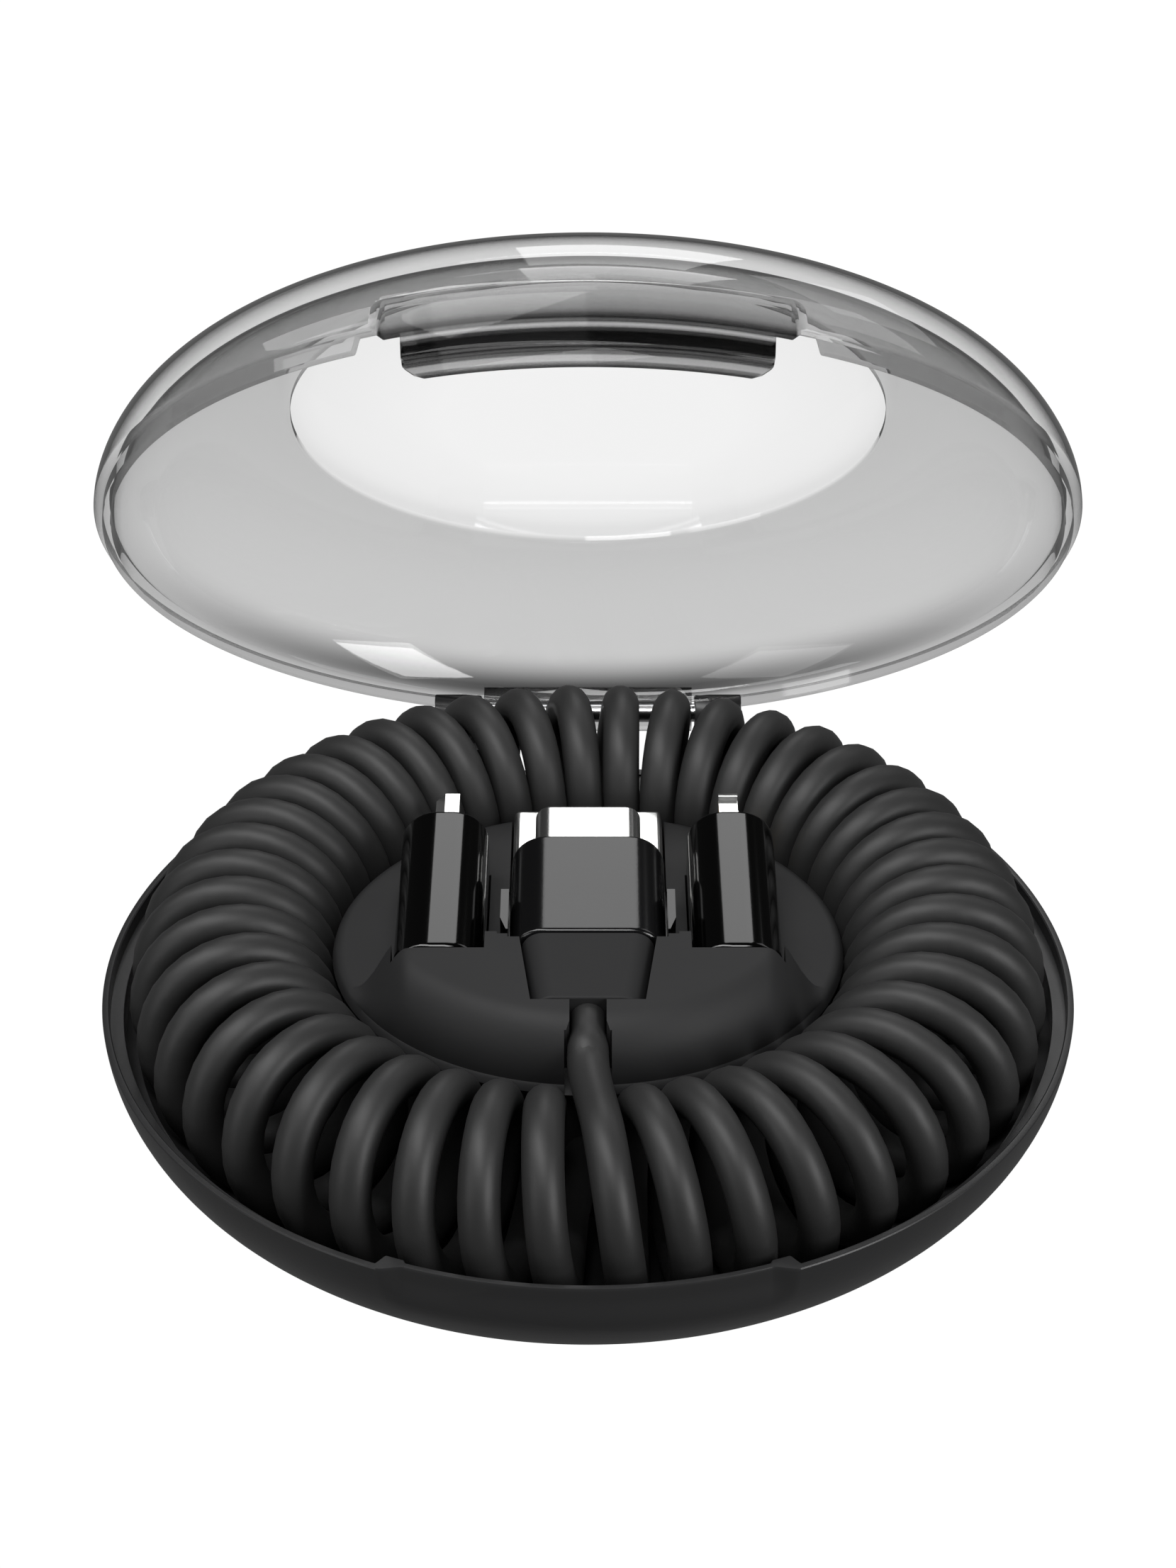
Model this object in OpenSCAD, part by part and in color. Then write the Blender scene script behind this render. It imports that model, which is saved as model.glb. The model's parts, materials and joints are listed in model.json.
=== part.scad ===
/* [Case] */
// Outer diameter of the round case
case_d = 75; // [75:0.5:95]
// Height of the bottom half, table to rim
bowl_h = 11; // [11:0.5:16]
// Radius of the flat foot under the case
foot_r = 15.5; // [10:0.5:20]
// Wall of the bottom half at its rim
rim_wall = 1.6; // [1.5:0.05:2]
// Floor thickness of the bottom half
floor_t = 2.4; // [1.6:0.1:3]
// Width of the outer ring left beside the rim's step
rim_ring = 0.56; // [0.4:0.02:0.6]
// Depth of the step in the rim that takes the lid's lip
rabbet_d = 1.27; // [0.9:0.01:1.8]

/* [Lid] */
// How far the lid stands open
lid_open = 52.3; // [0:0.1:110]
// Height of the clear lid above the rim
lid_h = 11.26; // [11:0.02:15]
// Wall of the clear lid
lid_wall = 1.15; // [0.9:0.05:1.3]
// Radius of the flat disc inside the lid
disc_r = 23; // [15:0.5:26]
// Depth of the flat disc's border
disc_step = 0.15; // [0.05:0.05:0.4]
// Height of the lip under the lid's rim
lip_h = 1.15; // [0.6:0.05:1.2]
// Thickness of the lip
lip_t = 0.65; // [0.4:0.05:0.8]
// Gap between the lip and the ring round it
lip_gap = 0.14; // [0.1:0.02:0.3]

/* [Latch] */
// Width of the latch tongue
tongue_w = 25.4; // [16:0.2:26]
// How far the tongue hangs below the rim
tongue_drop = 3.3; // [2.5:0.1:4.5]
// Thickness of the tongue
tongue_t = 0.55; // [0.45:0.05:0.8]
// Height of the bead across the tongue
bead_t = 0.12; // [0.05:0.01:0.2]
// Width of the thumb recess in the lid
recess_w = 28.2; // [27:0.2:30]
// Height of the thumb recess in the lid
recess_h = 2.1; // [1.5:0.1:3]
// Width of the thumb scoop in the bottom half
scoop_w = 26.2; // [20:0.2:27]
// Depth of the thumb scoop
scoop_t = 0.85; // [0.5:0.05:0.9]
// Height of the thumb scoop
scoop_h = 2.35; // [1.5:0.05:3]

/* [Hinge] */
// Distance of the hinge pin behind the case's edge
hinge_off = 1.1; // [1:0.05:1.6]
// Radius of the hinge barrel
barrel_r = 2.25; // [1.8:0.05:2.5]
// Radius of the steel hinge pin
pin_r = 0.8; // [0.5:0.05:1.1]
// Running clearance round the pin in the lid
pin_gap = 0.06; // [0.02:0.01:0.1]
// Width of the lid's hinge lug
lug_w = 18; // [12:0.5:22]
// Gap between the lug and each ear
ear_gap = 0.3; // [0.2:0.05:0.5]
// Width of each ear on the bottom half
ear_w = 4; // [3:0.1:6]
// Depth of the window behind the hinge
window_h = 4.7; // [4:0.1:6]

/* [Coiled cord] */
// Cord diameter
cord_d = 3.05; // [2.5:0.05:3.5]
// Half the height of the coiled ring
coil_tube_r = 7.7; // [6.5:0.1:7.7]
// Gap between the coiled ring and the latch tongue
coil_gap = 0.25; // [0.2:0.05:0.6]
// Gap between the coiled ring and the floor
coil_lift = 0.3; // [0.2:0.05:0.6]
// Diameter of the moulded neck where the cord leaves its plug
neck_d = 2.5; // [2:0.1:2.8]

/* [Hub] */
// Radius of the hub's drum under the tray
drum_r = 19; // [18.7:0.1:20]
// How far the tray stands out over the drum
tray_lip = 0.7; // [0:0.05:0.75]
// Gap between the drum and the coiled ring
hub_gap = 0.7; // [0.5:0.05:1]
// Height of the tray above the rim, at the middle
tray_z = 3.3; // [2.6:0.1:3.6]
// Fall of the tray towards the hinge
tray_tilt = 3.4; // [0:0.1:4]
// Height of the raised front block above the rim
block_z = 9; // [8.6:0.1:9.2]
// Radius of the front block's edge
block_r = 19.3; // [18.5:0.1:19.5]
// Rounding of the front block's edge
block_round = 3; // [1.5:0.1:3.2]
// Half width of the front block at its top
block_half = 14.5; // [14:0.1:15]
// Distance of the front block's back face from the middle
block_back = 6.7; // [6:0.1:7.2]
// Radius of the ring on the floor that centres the hub
spigot_r = 9; // [6:0.5:12]
// Height of that ring
spigot_h = 2; // [1:0.1:3]
// Clearance round everything that sits in the hub
fit_gap = 0.1; // [0.05:0.05:0.2]

/* [Reversible slim plug] */
// Width of the plug's moulded body
c_w = 11.8; // [11:0.1:11.9]
// Thickness of the body
c_h = 5.7; // [5:0.1:5.8]
// Corner radius of the body
c_r = 2.65; // [1.5:0.05:2.8]
// Length of the body
c_len = 12.75; // [10:0.25:14]
// Width of the metal shell
c_shell_w = 8.3; // [8.2:0.05:8.4]
// Thickness of the metal shell
c_shell_h = 2.4; // [2.3:0.05:2.5]
// Length of the metal shell
c_shell_len = 6.55; // [5.5:0.05:7]
// Length of the soft strain relief
c_relief_len = 7.8; // [6:0.1:8]

/* [Wide flat plug] */
// Width of the plug's moulded body
a_w = 13.4; // [12.8:0.1:14]
// Thickness of the body
a_h = 5.2; // [4.9:0.1:5.3]
// Length of the body
a_len = 13.4; // [11:0.2:15]
// Width of the metal shell
a_shell_w = 12; // [11.8:0.1:12.2]
// Thickness of the metal shell
a_shell_h = 4.5; // [4.4:0.05:4.6]
// Length of the metal shell
a_shell_len = 11.6; // [10.5:0.1:12]
// Sheet thickness of the plugs' shells
sheet = 0.3; // [0.2:0.05:0.35]
// Thickness of the two cheeks on the body
cheek_t = 0.6; // [0.4:0.05:0.7]

/* [Side adapters] */
// Distance of each adapter from the middle
side_x = 11.2; // [11:0.1:11.6]
// Height of an adapter as it stands on edge
side_h = 10.3; // [10:0.1:11.8]
// Thickness of an adapter
side_w = 6.8; // [6:0.1:6.9]
// Corner radius of an adapter
side_r = 2.7; // [1.5:0.1:3]
// Length of an adapter's body
side_len = 18.4; // [15:0.2:18.6]
// Width of the small plug's shell
micro_w = 6.85; // [6.5:0.05:7]
// Thickness of the small plug's shell
micro_h = 1.9; // [1.8:0.05:2.2]
// Length of the small plug's shell
micro_len = 4.9; // [4.5:0.1:5.6]
// Width of the slim tab
tab_w = 6.7; // [6.4:0.05:6.9]
// Thickness of the slim tab
tab_h = 1.5; // [1.3:0.05:1.7]
// Length of the slim tab
tab_len = 5.9; // [5:0.1:5.9]
// Depth of the socket in an adapter's other end
socket_len = 6.6; // [5:0.1:7.5]
// Width of that socket
socket_w = 8.4; // [8.3:0.05:8.5]
// Thickness of that socket
socket_h = 2.6; // [2.5:0.05:2.7]

/* [Hidden] */
$fn = 96;
eps = 0.01;
far = 60;

// case
case_r = case_d / 2;
rim_z = bowl_h;
bowl_in_r = case_r - rim_wall;
rabbet_r = case_r - rim_ring;
bowl_p = 1.85;
bowl_q = 3.9;
// lid, heights from the rim plane
lid_edge = 0.1;
lid_z0 = 0.56;
lid_foot = 8.1;
lid_p = 1.76;
lid_q = 4.51;
lid_in_r = case_r - lid_wall;
lid_roof = lid_h - lid_wall - disc_step - 0.15;
lip_out_r = rabbet_r - lip_gap;
lip_in_r = lip_out_r - lip_t;
// latch, from the thin front wall inwards
scoop_r = case_r - scoop_t;
front_wall = 0.5;
front_in_r = scoop_r - front_wall;
latch_gap = 0.13;
bead_r = front_in_r - latch_gap;
tongue_out_r = bead_r - bead_t;
tongue_in_r = tongue_out_r - tongue_t;
rim_end_x = scoop_w / 2 + 1.8;
// hinge
hinge_y = case_r + hinge_off;
ear_x = lug_w / 2 + ear_gap;
pin_half = ear_x + ear_w - 0.3;
// coiled ring, resting just above the floor
coil_in_r = drum_r + hub_gap;
coil_w = tongue_in_r - coil_gap - coil_in_r;
coil_r = coil_in_r + coil_w / 2;
coil_round = min(coil_w / 2, coil_tube_r) - 0.05;
bowl_in = dome(foot_r, bowl_in_r, floor_t - bowl_h, bowl_q, bowl_p, 40);
coil_corner = coil_in_r + coil_w - coil_round;
coil_reach = coil_round + coil_lift;
coil_z = coil_tube_r - coil_round + max([for (p = bowl_in) if (abs(p[0] - coil_corner) < coil_reach)
    p[1] + sqrt(pow(coil_reach, 2) - pow(p[0] - coil_corner, 2))]);
// hub
tray_r = drum_r + tray_lip;
floor_z = floor_t - bowl_h;
tray_round = 0.9;
tray_t = 1.5;
tray_shift = -0.3;
block_slope = 0.55;
spigot_t = 1.2;
socket_tongue_w = socket_w - 1.7;
socket_tongue_h = 0.7;
// reversible plug, its axis height and ends
c_near = -block_back - 0.8;
c_z = block_z + 0.5 - c_h / 2;
c_far = c_near + c_len;
c_tip = c_far + c_shell_len;
c_end = c_near - c_relief_len;
c_relief_w = 10;
c_relief_tip = 8.2;
neck_z = block_z - 0.45 - neck_d / 2;
neck_bend = 4.6;
neck_turn = 45;
neck_run = 0.3;
// wide plug
a_near = -block_back - 0.4;
a_z = c_z - c_h / 2 - fit_gap - a_h / 2;
a_far = a_near + a_len;
a_tip = a_far + a_shell_len;
a_relief_len = 4.9;
a_relief_w = 9;
a_relief_tip = 6;
a_end = a_near - a_relief_len;
cheek_x = c_w / 2 + fit_gap;
cheek_near = -block_back + 0.1;
cheek_len = 5.2;
// adapters
side_near = -block_back - 2.2;
side_far = side_near + side_len;
side_z = block_z + 0.05 - side_h / 2;
tip_z = side_z;
soft = 0.6;

// Points of a soft dome: flat to rf, bulging to ro at height 0, h high
function dome(rf, ro, h, q, p, n) =
    [for (i = [0:n]) let (a = 90 * i / n) [rf + (ro - rf) * pow(cos(a), 2 / q), h * pow(sin(a), 2 / p)]];
// Quarter round from angle a0 to a1 about a centre
function arc(c, r, a0, a1, n) = [for (i = [0:n]) let (a = a0 + (a1 - a0) * i / n) c + r * [cos(a), sin(a)]];
function lift(points, z) = [for (p = points) [p[0], p[1] + z]];

// Ring points of a round tube swept along points in the plane x = 0
function tangent(p, i) = let (a = p[max(0, i - 1)], b = p[min(len(p) - 1, i + 1)]) (b - a) / norm(b - a);
function ring(p, i, r, n) = let (t = tangent(p, i))
    [for (k = [0:n - 1]) let (a = 360 * k / n)
        [r * cos(a), p[i][0] - r * sin(a) * t[1], p[i][1] + r * sin(a) * t[0]]];

module tube(path, r, n) {
    m = len(path);
    polyhedron(
        points = [for (i = [0:m - 1]) for (q = ring(path, i, r, n)) q],
        faces = concat(
            [[for (k = [0:n - 1]) k]],
            [for (i = [0:m - 2]) for (k = [0:n - 1]) let (k2 = (k + 1) % n)
                [i * n + k, (i + 1) * n + k, (i + 1) * n + k2, i * n + k2]],
            [[for (k = [n - 1:-1:0]) (m - 1) * n + k]]));
}

module at_rim() translate([0, 0, rim_z]) children();
module along_y(y0, y1) translate([0, y1, 0]) rotate([90, 0, 0]) linear_extrude(y1 - y0) children();
module along_x(x0, x1) translate([x0, 0, 0]) rotate([90, 0, 90]) linear_extrude(x1 - x0) children();
module ring_cut(r0, r1, z0, z1) rotate_extrude() translate([r0, z0]) square([r1 - r0, z1 - z0]);
module front_box(w, z0, z1) translate([-w / 2, -far, z0]) cube([w, far, z1 - z0]);
module back_box(w, z0, z1) translate([-w / 2, 0, z0]) cube([w, far, z1 - z0]);

module round_rect(w, h, r) {
    square([w - 2 * r, h], center = true);
    square([w, h - 2 * r], center = true);
    for (x = [-1, 1], y = [-1, 1]) translate([x * (w / 2 - r), y * (h / 2 - r)]) circle(r, $fn = 48);
}

// Rounded bar along Y whose end edges are softened too
module soft_bar(w, h, r, y0, y1, e) intersection() {
    along_y(y0, y1) round_rect(w, h, r);
    along_x(-w, w) translate([(y0 + y1) / 2, 0]) round_rect(y1 - y0, h, e);
    translate([0, (y0 + y1) / 2, -h]) linear_extrude(2 * h) round_rect(w, y1 - y0, e);
}

// Pocket for a bar: its own outline below, open above
module pocket(w, h, r, y0, y1) {
    along_y(y0, y1) round_rect(w, h, r);
    translate([-w / 2, y0, 0]) cube([w, y1 - y0, far]);
}

// Tapered strain relief between two widths and heights
module relief(w0, w1, h0, h1, y0, y1) intersection() {
    translate([0, 0, -far / 2]) linear_extrude(far)
        polygon([[-w0 / 2, y0], [w0 / 2, y0], [w1 / 2, y1], [-w1 / 2, y1]]);
    along_x(-far / 2, far / 2) polygon([[y0, -h0 / 2], [y0, h0 / 2], [y1, h1 / 2], [y1, -h1 / 2]]);
    along_y(y1 - eps, y0 + eps) round_rect(w0, h0, min(h0, w0) * 0.3);
}

module hinge_bar(r, x0, x1) translate([x0, hinge_y, 0]) rotate([0, 90, 0]) cylinder(r = r, h = x1 - x0, $fn = 64);

module ear_shape() {
    translate([hinge_y, 0]) circle(barrel_r, $fn = 64);
    polygon([[bowl_in_r - 2, 0], [hinge_y, 0],
        [hinge_y + barrel_r * cos(35), -barrel_r * sin(35)],
        [case_r - 1, -window_h], [bowl_in_r - 2, -window_h]]);
}

module case_bottom() color("#1c1d1f") at_rim() {
    difference() {
        union() {
            rotate_extrude() polygon(concat([[0, 0]], dome(foot_r, case_r, -bowl_h, bowl_q, bowl_p, 20),
                [[0, -bowl_h]]));
            for (s = [-1, 1]) along_x(s > 0 ? ear_x : -ear_x - ear_w, s > 0 ? ear_x + ear_w : -ear_x)
                ear_shape();
        }
        rotate_extrude() polygon(concat([[0, 4], [bowl_in_r, 4]],
            dome(foot_r, bowl_in_r, floor_z, bowl_q, bowl_p, 20), [[0, floor_z]]));
        // step for the lid's lip, left out at the latch
        difference() {
            ring_cut(bowl_in_r - 1, rabbet_r, -rabbet_d, 1);
            front_box(2 * rim_end_x, -2, 2);
        }
        // window for the hinge lug
        translate([-ear_x, bowl_in_r * 0.78, -window_h]) cube([2 * ear_x, far, far]);
        // pocket behind the front wall for the latch tongue
        intersection() {
            ring_cut(bowl_in_r - 1, front_in_r, -tongue_drop - 0.3, 1);
            front_box(tongue_w + 0.8, -9, 2);
        }
        // thumb scoop with its soft lower edge
        intersection() {
            rotate_extrude() polygon([[scoop_r, 1], [scoop_r, -scoop_h + 0.7], [scoop_r + 0.15, -scoop_h + 0.3],
                [scoop_r + 0.45, -scoop_h], [case_r + 2, -scoop_h - 0.2], [case_r + 2, 1]]);
            translate([-far / 2, -far - sqrt(pow(scoop_r, 2) - pow(scoop_w / 2, 2)), -far / 2])
                cube([far, far, far]);
        }
        hinge_bar(pin_r, -far / 2, far / 2);
    }
    // ring that centres the hub on the floor
    translate([0, 0, floor_z - 0.2]) rotate_extrude()
        translate([spigot_r - spigot_t, 0]) square([spigot_t, spigot_h + 0.2]);
}

module tongue_outline() polygon([[-tongue_w / 2, 1], [tongue_w / 2, 1], [tongue_w / 2, -tongue_drop + 1.2],
    [tongue_w / 2 - 1, -tongue_drop], [-tongue_w / 2 + 1, -tongue_drop], [-tongue_w / 2, -tongue_drop + 1.2]]);

module recess_outline() {
    r = 0.9;
    translate([-recess_w / 2, -1]) square([recess_w, recess_h + 1 - r]);
    translate([-recess_w / 2 + r, -1]) square([recess_w - 2 * r, recess_h + 1]);
    for (s = [-1, 1]) translate([s * (recess_w / 2 - r), recess_h - r]) circle(r, $fn = 32);
}

module lid_closed() difference() {
    union() {
        difference() {
            rotate_extrude() polygon(concat([[0, lid_edge], [case_r, lid_edge]],
                lift(dome(lid_foot, case_r, lid_h - lid_z0, lid_q, lid_p, 20), lid_z0), [[0, lid_h]]));
            rotate_extrude() polygon(concat([[0, -1], [lid_in_r, -1]],
                lift(dome(lid_foot, lid_in_r, lid_roof - lid_z0, lid_q, lid_p, 20), lid_z0), [[0, lid_roof]]));
            translate([0, 0, lid_roof - 1]) cylinder(r = disc_r, h = 1 + disc_step);
        }
        // lip, open at the latch and at the hinge
        difference() {
            ring_cut(lip_in_r, lip_out_r, lid_edge - lip_h, lid_z0 + 0.3);
            front_box(2 * rim_end_x + 0.6, -3, 3);
            back_box(2 * ear_x + 1.4, -3, 3);
        }
        // wall of the thumb recess
        intersection() {
            ring_cut(tongue_in_r, lid_in_r + 0.4, lid_edge, recess_h + 0.6);
            front_box(recess_w + 1.2, -3, 5);
        }
        // tongue and its bead
        intersection() {
            union() {
                ring_cut(tongue_in_r, tongue_out_r, -tongue_drop, 1);
                rotate_extrude() polygon([[tongue_out_r - 0.2, -2.1], [tongue_out_r, -2.1], [bead_r, -1.85],
                    [bead_r, -1.5], [tongue_out_r, -1.25], [tongue_out_r - 0.2, -1.25]]);
            }
            along_y(-far, 0) tongue_outline();
        }
        // lug round the pin
        hinge_bar(barrel_r, -lug_w / 2, lug_w / 2);
        translate([-lug_w / 2, lid_in_r - 0.6, lid_edge]) cube([lug_w, hinge_off + lid_wall + 0.6, barrel_r - lid_edge]);
    }
    intersection() {
        ring_cut(tongue_out_r, case_r + 2, -1, recess_h);
        along_y(-far, 0) recess_outline();
    }
    for (s = [-1, 1]) hinge_bar(barrel_r + 0.3, s > 0 ? lug_w / 2 : -ear_x - ear_w - 0.5,
        s > 0 ? ear_x + ear_w + 0.5 : -lug_w / 2);
    hinge_bar(pin_r + pin_gap, -far / 2, far / 2);
}

module lid() color("#e8ecef", 0.35)
    at_rim() translate([0, hinge_y, 0]) rotate([-lid_open, 0, 0]) translate([0, -hinge_y, 0]) lid_closed();

module hinge_pin() color("silver") at_rim() hinge_bar(pin_r, -pin_half, pin_half);

// Raised block in front of the connectors, with a rounded shoulder
module front_block() intersection() {
    rotate_extrude() polygon(concat([[0, 0], [block_r, 0]],
        arc([block_r - block_round, block_z - block_round], block_round, 0, 90, 12), [[0, block_z]]));
    along_y(-far, -block_back) polygon([[-block_half - block_slope * block_z, 0],
        [block_half + block_slope * block_z, 0], [block_half, block_z], [block_half, far], [-block_half, far],
        [-block_half, block_z]]);
}

// Channel for the neck, wider where the thicker cord begins
module cord_channel() {
    low = neck_z - neck_d / 2;
    turn_y = c_end - neck_run;
    along_x(-neck_d / 2 - fit_gap, neck_d / 2 + fit_gap)
        polygon([[c_end + 1, low - fit_gap], [turn_y - 0.6, low - fit_gap], [turn_y - 1.6, low - 0.5],
            [turn_y - 2.4, low - 1.1], [turn_y - 8, low - 6.7], [turn_y - 8, far], [c_end + 1, far]]);
    along_x(-cord_d / 2 - 0.2, cord_d / 2 + 0.2)
        polygon([[turn_y - 2.2, low - 1.25], [turn_y - 8, low - 7.1], [turn_y - 8, far], [turn_y - 2.2, far]]);
}

module tail_channel() along_x(-cord_d / 2 - 0.2, cord_d / 2 + 0.2)
    polygon([[a_end + 0.5, a_z + 1.9], [-13.5, a_z + 1.7], [-15.5, a_z + 0.9], [-tray_r - 2, a_z - 2.6],
        [-tray_r - 2, floor_z - 1], [a_end + 0.5, floor_z - 1]]);

module hub() color("#26272a") at_rim() difference() {
    union() {
        rotate_extrude() polygon([[0, floor_z], [drum_r - 0.4, floor_z], [drum_r, floor_z + 0.4], [drum_r, 0.8],
            [0, 0.8]]);
        rotate([-tray_tilt, 0, 0]) translate([0, tray_shift, tray_z - tray_t]) rotate_extrude()
            polygon(concat([[0, -0.8], [drum_r - 0.2, -0.8], [tray_r - 0.2, 0]],
                arc([tray_r - tray_round, tray_t - tray_round], tray_round, 0, 90, 8), [[0, tray_t]]));
        front_block();
    }
    ring_cut(spigot_r - spigot_t - fit_gap, spigot_r + fit_gap, floor_z - 1, floor_z + spigot_h + fit_gap);
    translate([0, 0, c_z]) pocket(c_w + 2 * fit_gap, c_h + 2 * fit_gap, c_r + fit_gap, c_near - fit_gap, c_tip);
    translate([0, 0, c_z]) relief(c_relief_w + 2 * fit_gap, c_relief_tip + 2 * fit_gap, 8, 8,
        c_near + 0.5, c_end - fit_gap);
    cord_channel();
    tail_channel();
    translate([0, 0, a_z]) pocket(a_w + 2 * fit_gap, a_h + 2 * fit_gap, 0.9, a_near - fit_gap, a_far + fit_gap);
    translate([0, 0, a_z]) pocket(a_shell_w + 4 * fit_gap, a_shell_h + 4 * fit_gap, 0.5, a_far, tray_r + 2);
    along_y(a_end - fit_gap, a_near) translate([0, a_z]) round_rect(a_relief_w + 0.4, a_h - 0.2, 1);
    for (s = [-1, 1]) translate([s * side_x, 0, side_z])
        pocket(side_w + 2 * fit_gap, side_h, side_r, side_near - fit_gap, side_far + fit_gap);
    translate([-side_x, side_far, tip_z - micro_w / 2 - 0.2]) translate([-micro_h / 2 - 0.2, 0, 0])
        cube([micro_h + 0.4, far, far]);
    translate([side_x, side_far, tip_z - tab_w / 2 - 0.2]) translate([-tab_h / 2 - 0.2, 0, 0])
        cube([tab_h + 0.4, far, far]);
}

module cord_coil() color("#202123") at_rim() rotate_extrude() translate([coil_r, coil_z])
    round_rect(coil_w, 2 * coil_tube_r, coil_round);

// Neck: a short straight run, then a bend over the block's front edge
neck_path = concat([[c_end, neck_z]],
    [for (i = [0:4]) let (a = neck_turn * i / 4)
        [c_end - neck_run - neck_bend * sin(a), neck_z - neck_bend * (1 - cos(a))]]);
neck_tip = neck_path[len(neck_path) - 1];
lead_path = [neck_tip, [-19.6, 5.5], [-20.5, 5.1], [-21.6, 5.0]];
tail_path = [[a_end, a_z], [-13.2, 0.9], [-14.8, 0.2], [-17, -1.1], [-20.1, -2.9]];

module cord_neck() color("#202123") at_rim() tube(neck_path, neck_d / 2, 16);
module cord_lead() color("#202123") at_rim() tube(lead_path, cord_d / 2, 8);
module cord_tail() color("#202123") at_rim() tube(tail_path, cord_d / 2, 8);

module type_c_shell() color("silver") at_rim() translate([0, 0, c_z]) difference() {
    soft_bar(c_shell_w, c_shell_h, c_shell_h / 2 - eps, c_far, c_tip, 0.25);
    along_y(c_far - 1, c_tip + 1) round_rect(c_shell_w - 2 * sheet, c_shell_h - 2 * sheet,
        c_shell_h / 2 - sheet - eps);
}

module type_c_insert() color("#17181a") at_rim() translate([0, 0, c_z]) difference() {
    along_y(c_far, c_tip - 0.4) round_rect(c_shell_w - 2 * sheet - 0.04, c_shell_h - 2 * sheet - 0.04,
        c_shell_h / 2 - sheet - 0.04);
    along_y(c_far + 0.8, c_tip + 1) round_rect(c_shell_w - 2 * sheet - 1, 0.9, 0.4);
}

module type_c_body() color("#2a2b2e") at_rim() translate([0, 0, c_z])
    soft_bar(c_w, c_h, c_r, c_near, c_far, soft);

module type_c_relief() color("#222326") at_rim() translate([0, 0, c_z + 0.1])
    relief(c_relief_w, c_relief_tip, c_h - 0.5, c_h - 1.2, c_near, c_end);

module type_a_shell() color("silver") at_rim() translate([0, 0, a_z]) difference() {
    soft_bar(a_shell_w, a_shell_h, 0.5, a_far, a_tip, 0.25);
    along_y(a_far - 1, a_tip + 1) round_rect(a_shell_w - 2 * sheet, a_shell_h - 2 * sheet, 0.3);
    for (x = [-1, 1]) translate([x * 3 - 1.25, a_far + 4.2, 0]) cube([2.5, 2, far]);
}

module type_a_insert() color("#e4e4e0") at_rim() translate([0, 0, a_z])
    along_y(a_far, a_tip - 0.5) intersection() {
        round_rect(a_shell_w - 2 * sheet - 0.04, a_shell_h - 2 * sheet - 0.04, 0.32);
        translate([-a_shell_w / 2, sheet - a_shell_h / 2]) square([a_shell_w, 1.86]);
    }

module type_a_contacts() color("goldenrod") at_rim()
    translate([0, a_far + 1, a_z - a_shell_h / 2 + sheet + 1.86])
        for (x = [-3.5, -1, 1, 3.5]) translate([x - 0.5, 0, 0]) cube([1, 8.5, 0.12]);

module type_a_body() color("#1e1f22") at_rim() translate([0, 0, a_z]) {
    soft_bar(a_w, a_h, 0.8, a_near, a_far, soft);
    for (s = [0, 1]) mirror([s, 0, 0]) linear_extrude(block_z - a_z)
        polygon([[cheek_x, cheek_near], [cheek_x + 0.15, cheek_near], [cheek_x + cheek_t, cheek_near + 1.5],
            [cheek_x + cheek_t, cheek_near + cheek_len], [cheek_x, cheek_near + cheek_len]]);
}

module type_a_relief() color("#222326") at_rim() translate([0, 0, a_z])
    relief(a_relief_w, a_relief_tip, a_h - 0.6, a_h - 1.4, a_near, a_end);

module at_side(s) at_rim() translate([s * side_x, 0, side_z]) children();

module side_body() difference() {
    soft_bar(side_w, side_h, side_r, side_near, side_far, soft);
    along_y(side_near - 1, side_near + socket_len)
        round_rect(socket_h + 2 * sheet, socket_w + 2 * sheet, socket_h / 2 + sheet - eps);
}

// Metal-lined socket with its tongue, upright in an adapter's end
module side_socket() {
    difference() {
        along_y(side_near + 0.15, side_near + socket_len)
            round_rect(socket_h + 2 * sheet, socket_w + 2 * sheet, socket_h / 2 + sheet - eps);
        along_y(side_near - 1, side_near + socket_len - 0.4) round_rect(socket_h, socket_w, socket_h / 2 - eps);
    }
    along_y(side_near + 1, side_near + socket_len - 0.2) round_rect(socket_tongue_h, socket_tongue_w, 0.3);
}

module micro_body() color("#141517") at_side(-1) side_body();
module slim_body() color("#141517") at_side(1) side_body();
module micro_socket() color("silver") at_side(-1) side_socket();
module slim_socket() color("silver") at_side(1) side_socket();

// Trapezoid outline of the small plug, standing on edge
module micro_outline(g) {
    w = micro_w / 2 - g;
    h = micro_h / 2 - g;
    c = 0.75 - g * 0.4;
    polygon([[h, -w], [c - h, -w], [-h, c - w], [-h, w - c], [c - h, w], [h, w]]);
}

module micro_shell() color("silver") at_side(-1) difference() {
    along_y(side_far, side_far + micro_len) micro_outline(0);
    along_y(side_far - 1, side_far + micro_len + 1) micro_outline(sheet - 0.05);
}

module micro_insert() color("#17181a") at_side(-1) along_y(side_far, side_far + micro_len - 0.4)
    translate([0.3, 0]) square([0.65, micro_w - 2.2], center = true);

module slim_tab() color("silver") at_side(1) difference() {
    along_x(-tab_h / 2, tab_h / 2) translate([side_far + tab_len / 2, 0]) {
        translate([-tab_len / 2, -tab_w / 2]) square([tab_len / 2, tab_w]);
        round_rect(tab_len, tab_w, 1.2);
    }
    for (s = [-1, 1]) translate([s * (tab_h / 2 - 0.15) - 0.25, side_far + tab_len - 4.4, -tab_w / 2 + 0.7])
        cube([0.5, 3.6, tab_w - 1.4]);
    for (s = [-1, 1]) translate([0, side_far + tab_len - 2.3, s * (tab_w / 2 + 0.15)])
        cube([4, 2, 1], center = true);
}

module slim_contacts() color("goldenrod") at_side(1) for (s = [-1, 1], i = [0:7])
    translate([s * (tab_h / 2 - 0.1) - 0.05, side_far + tab_len - 4.1, (i - 3.5) * 0.64 - 0.2]) cube([0.1, 3, 0.4]);

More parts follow.
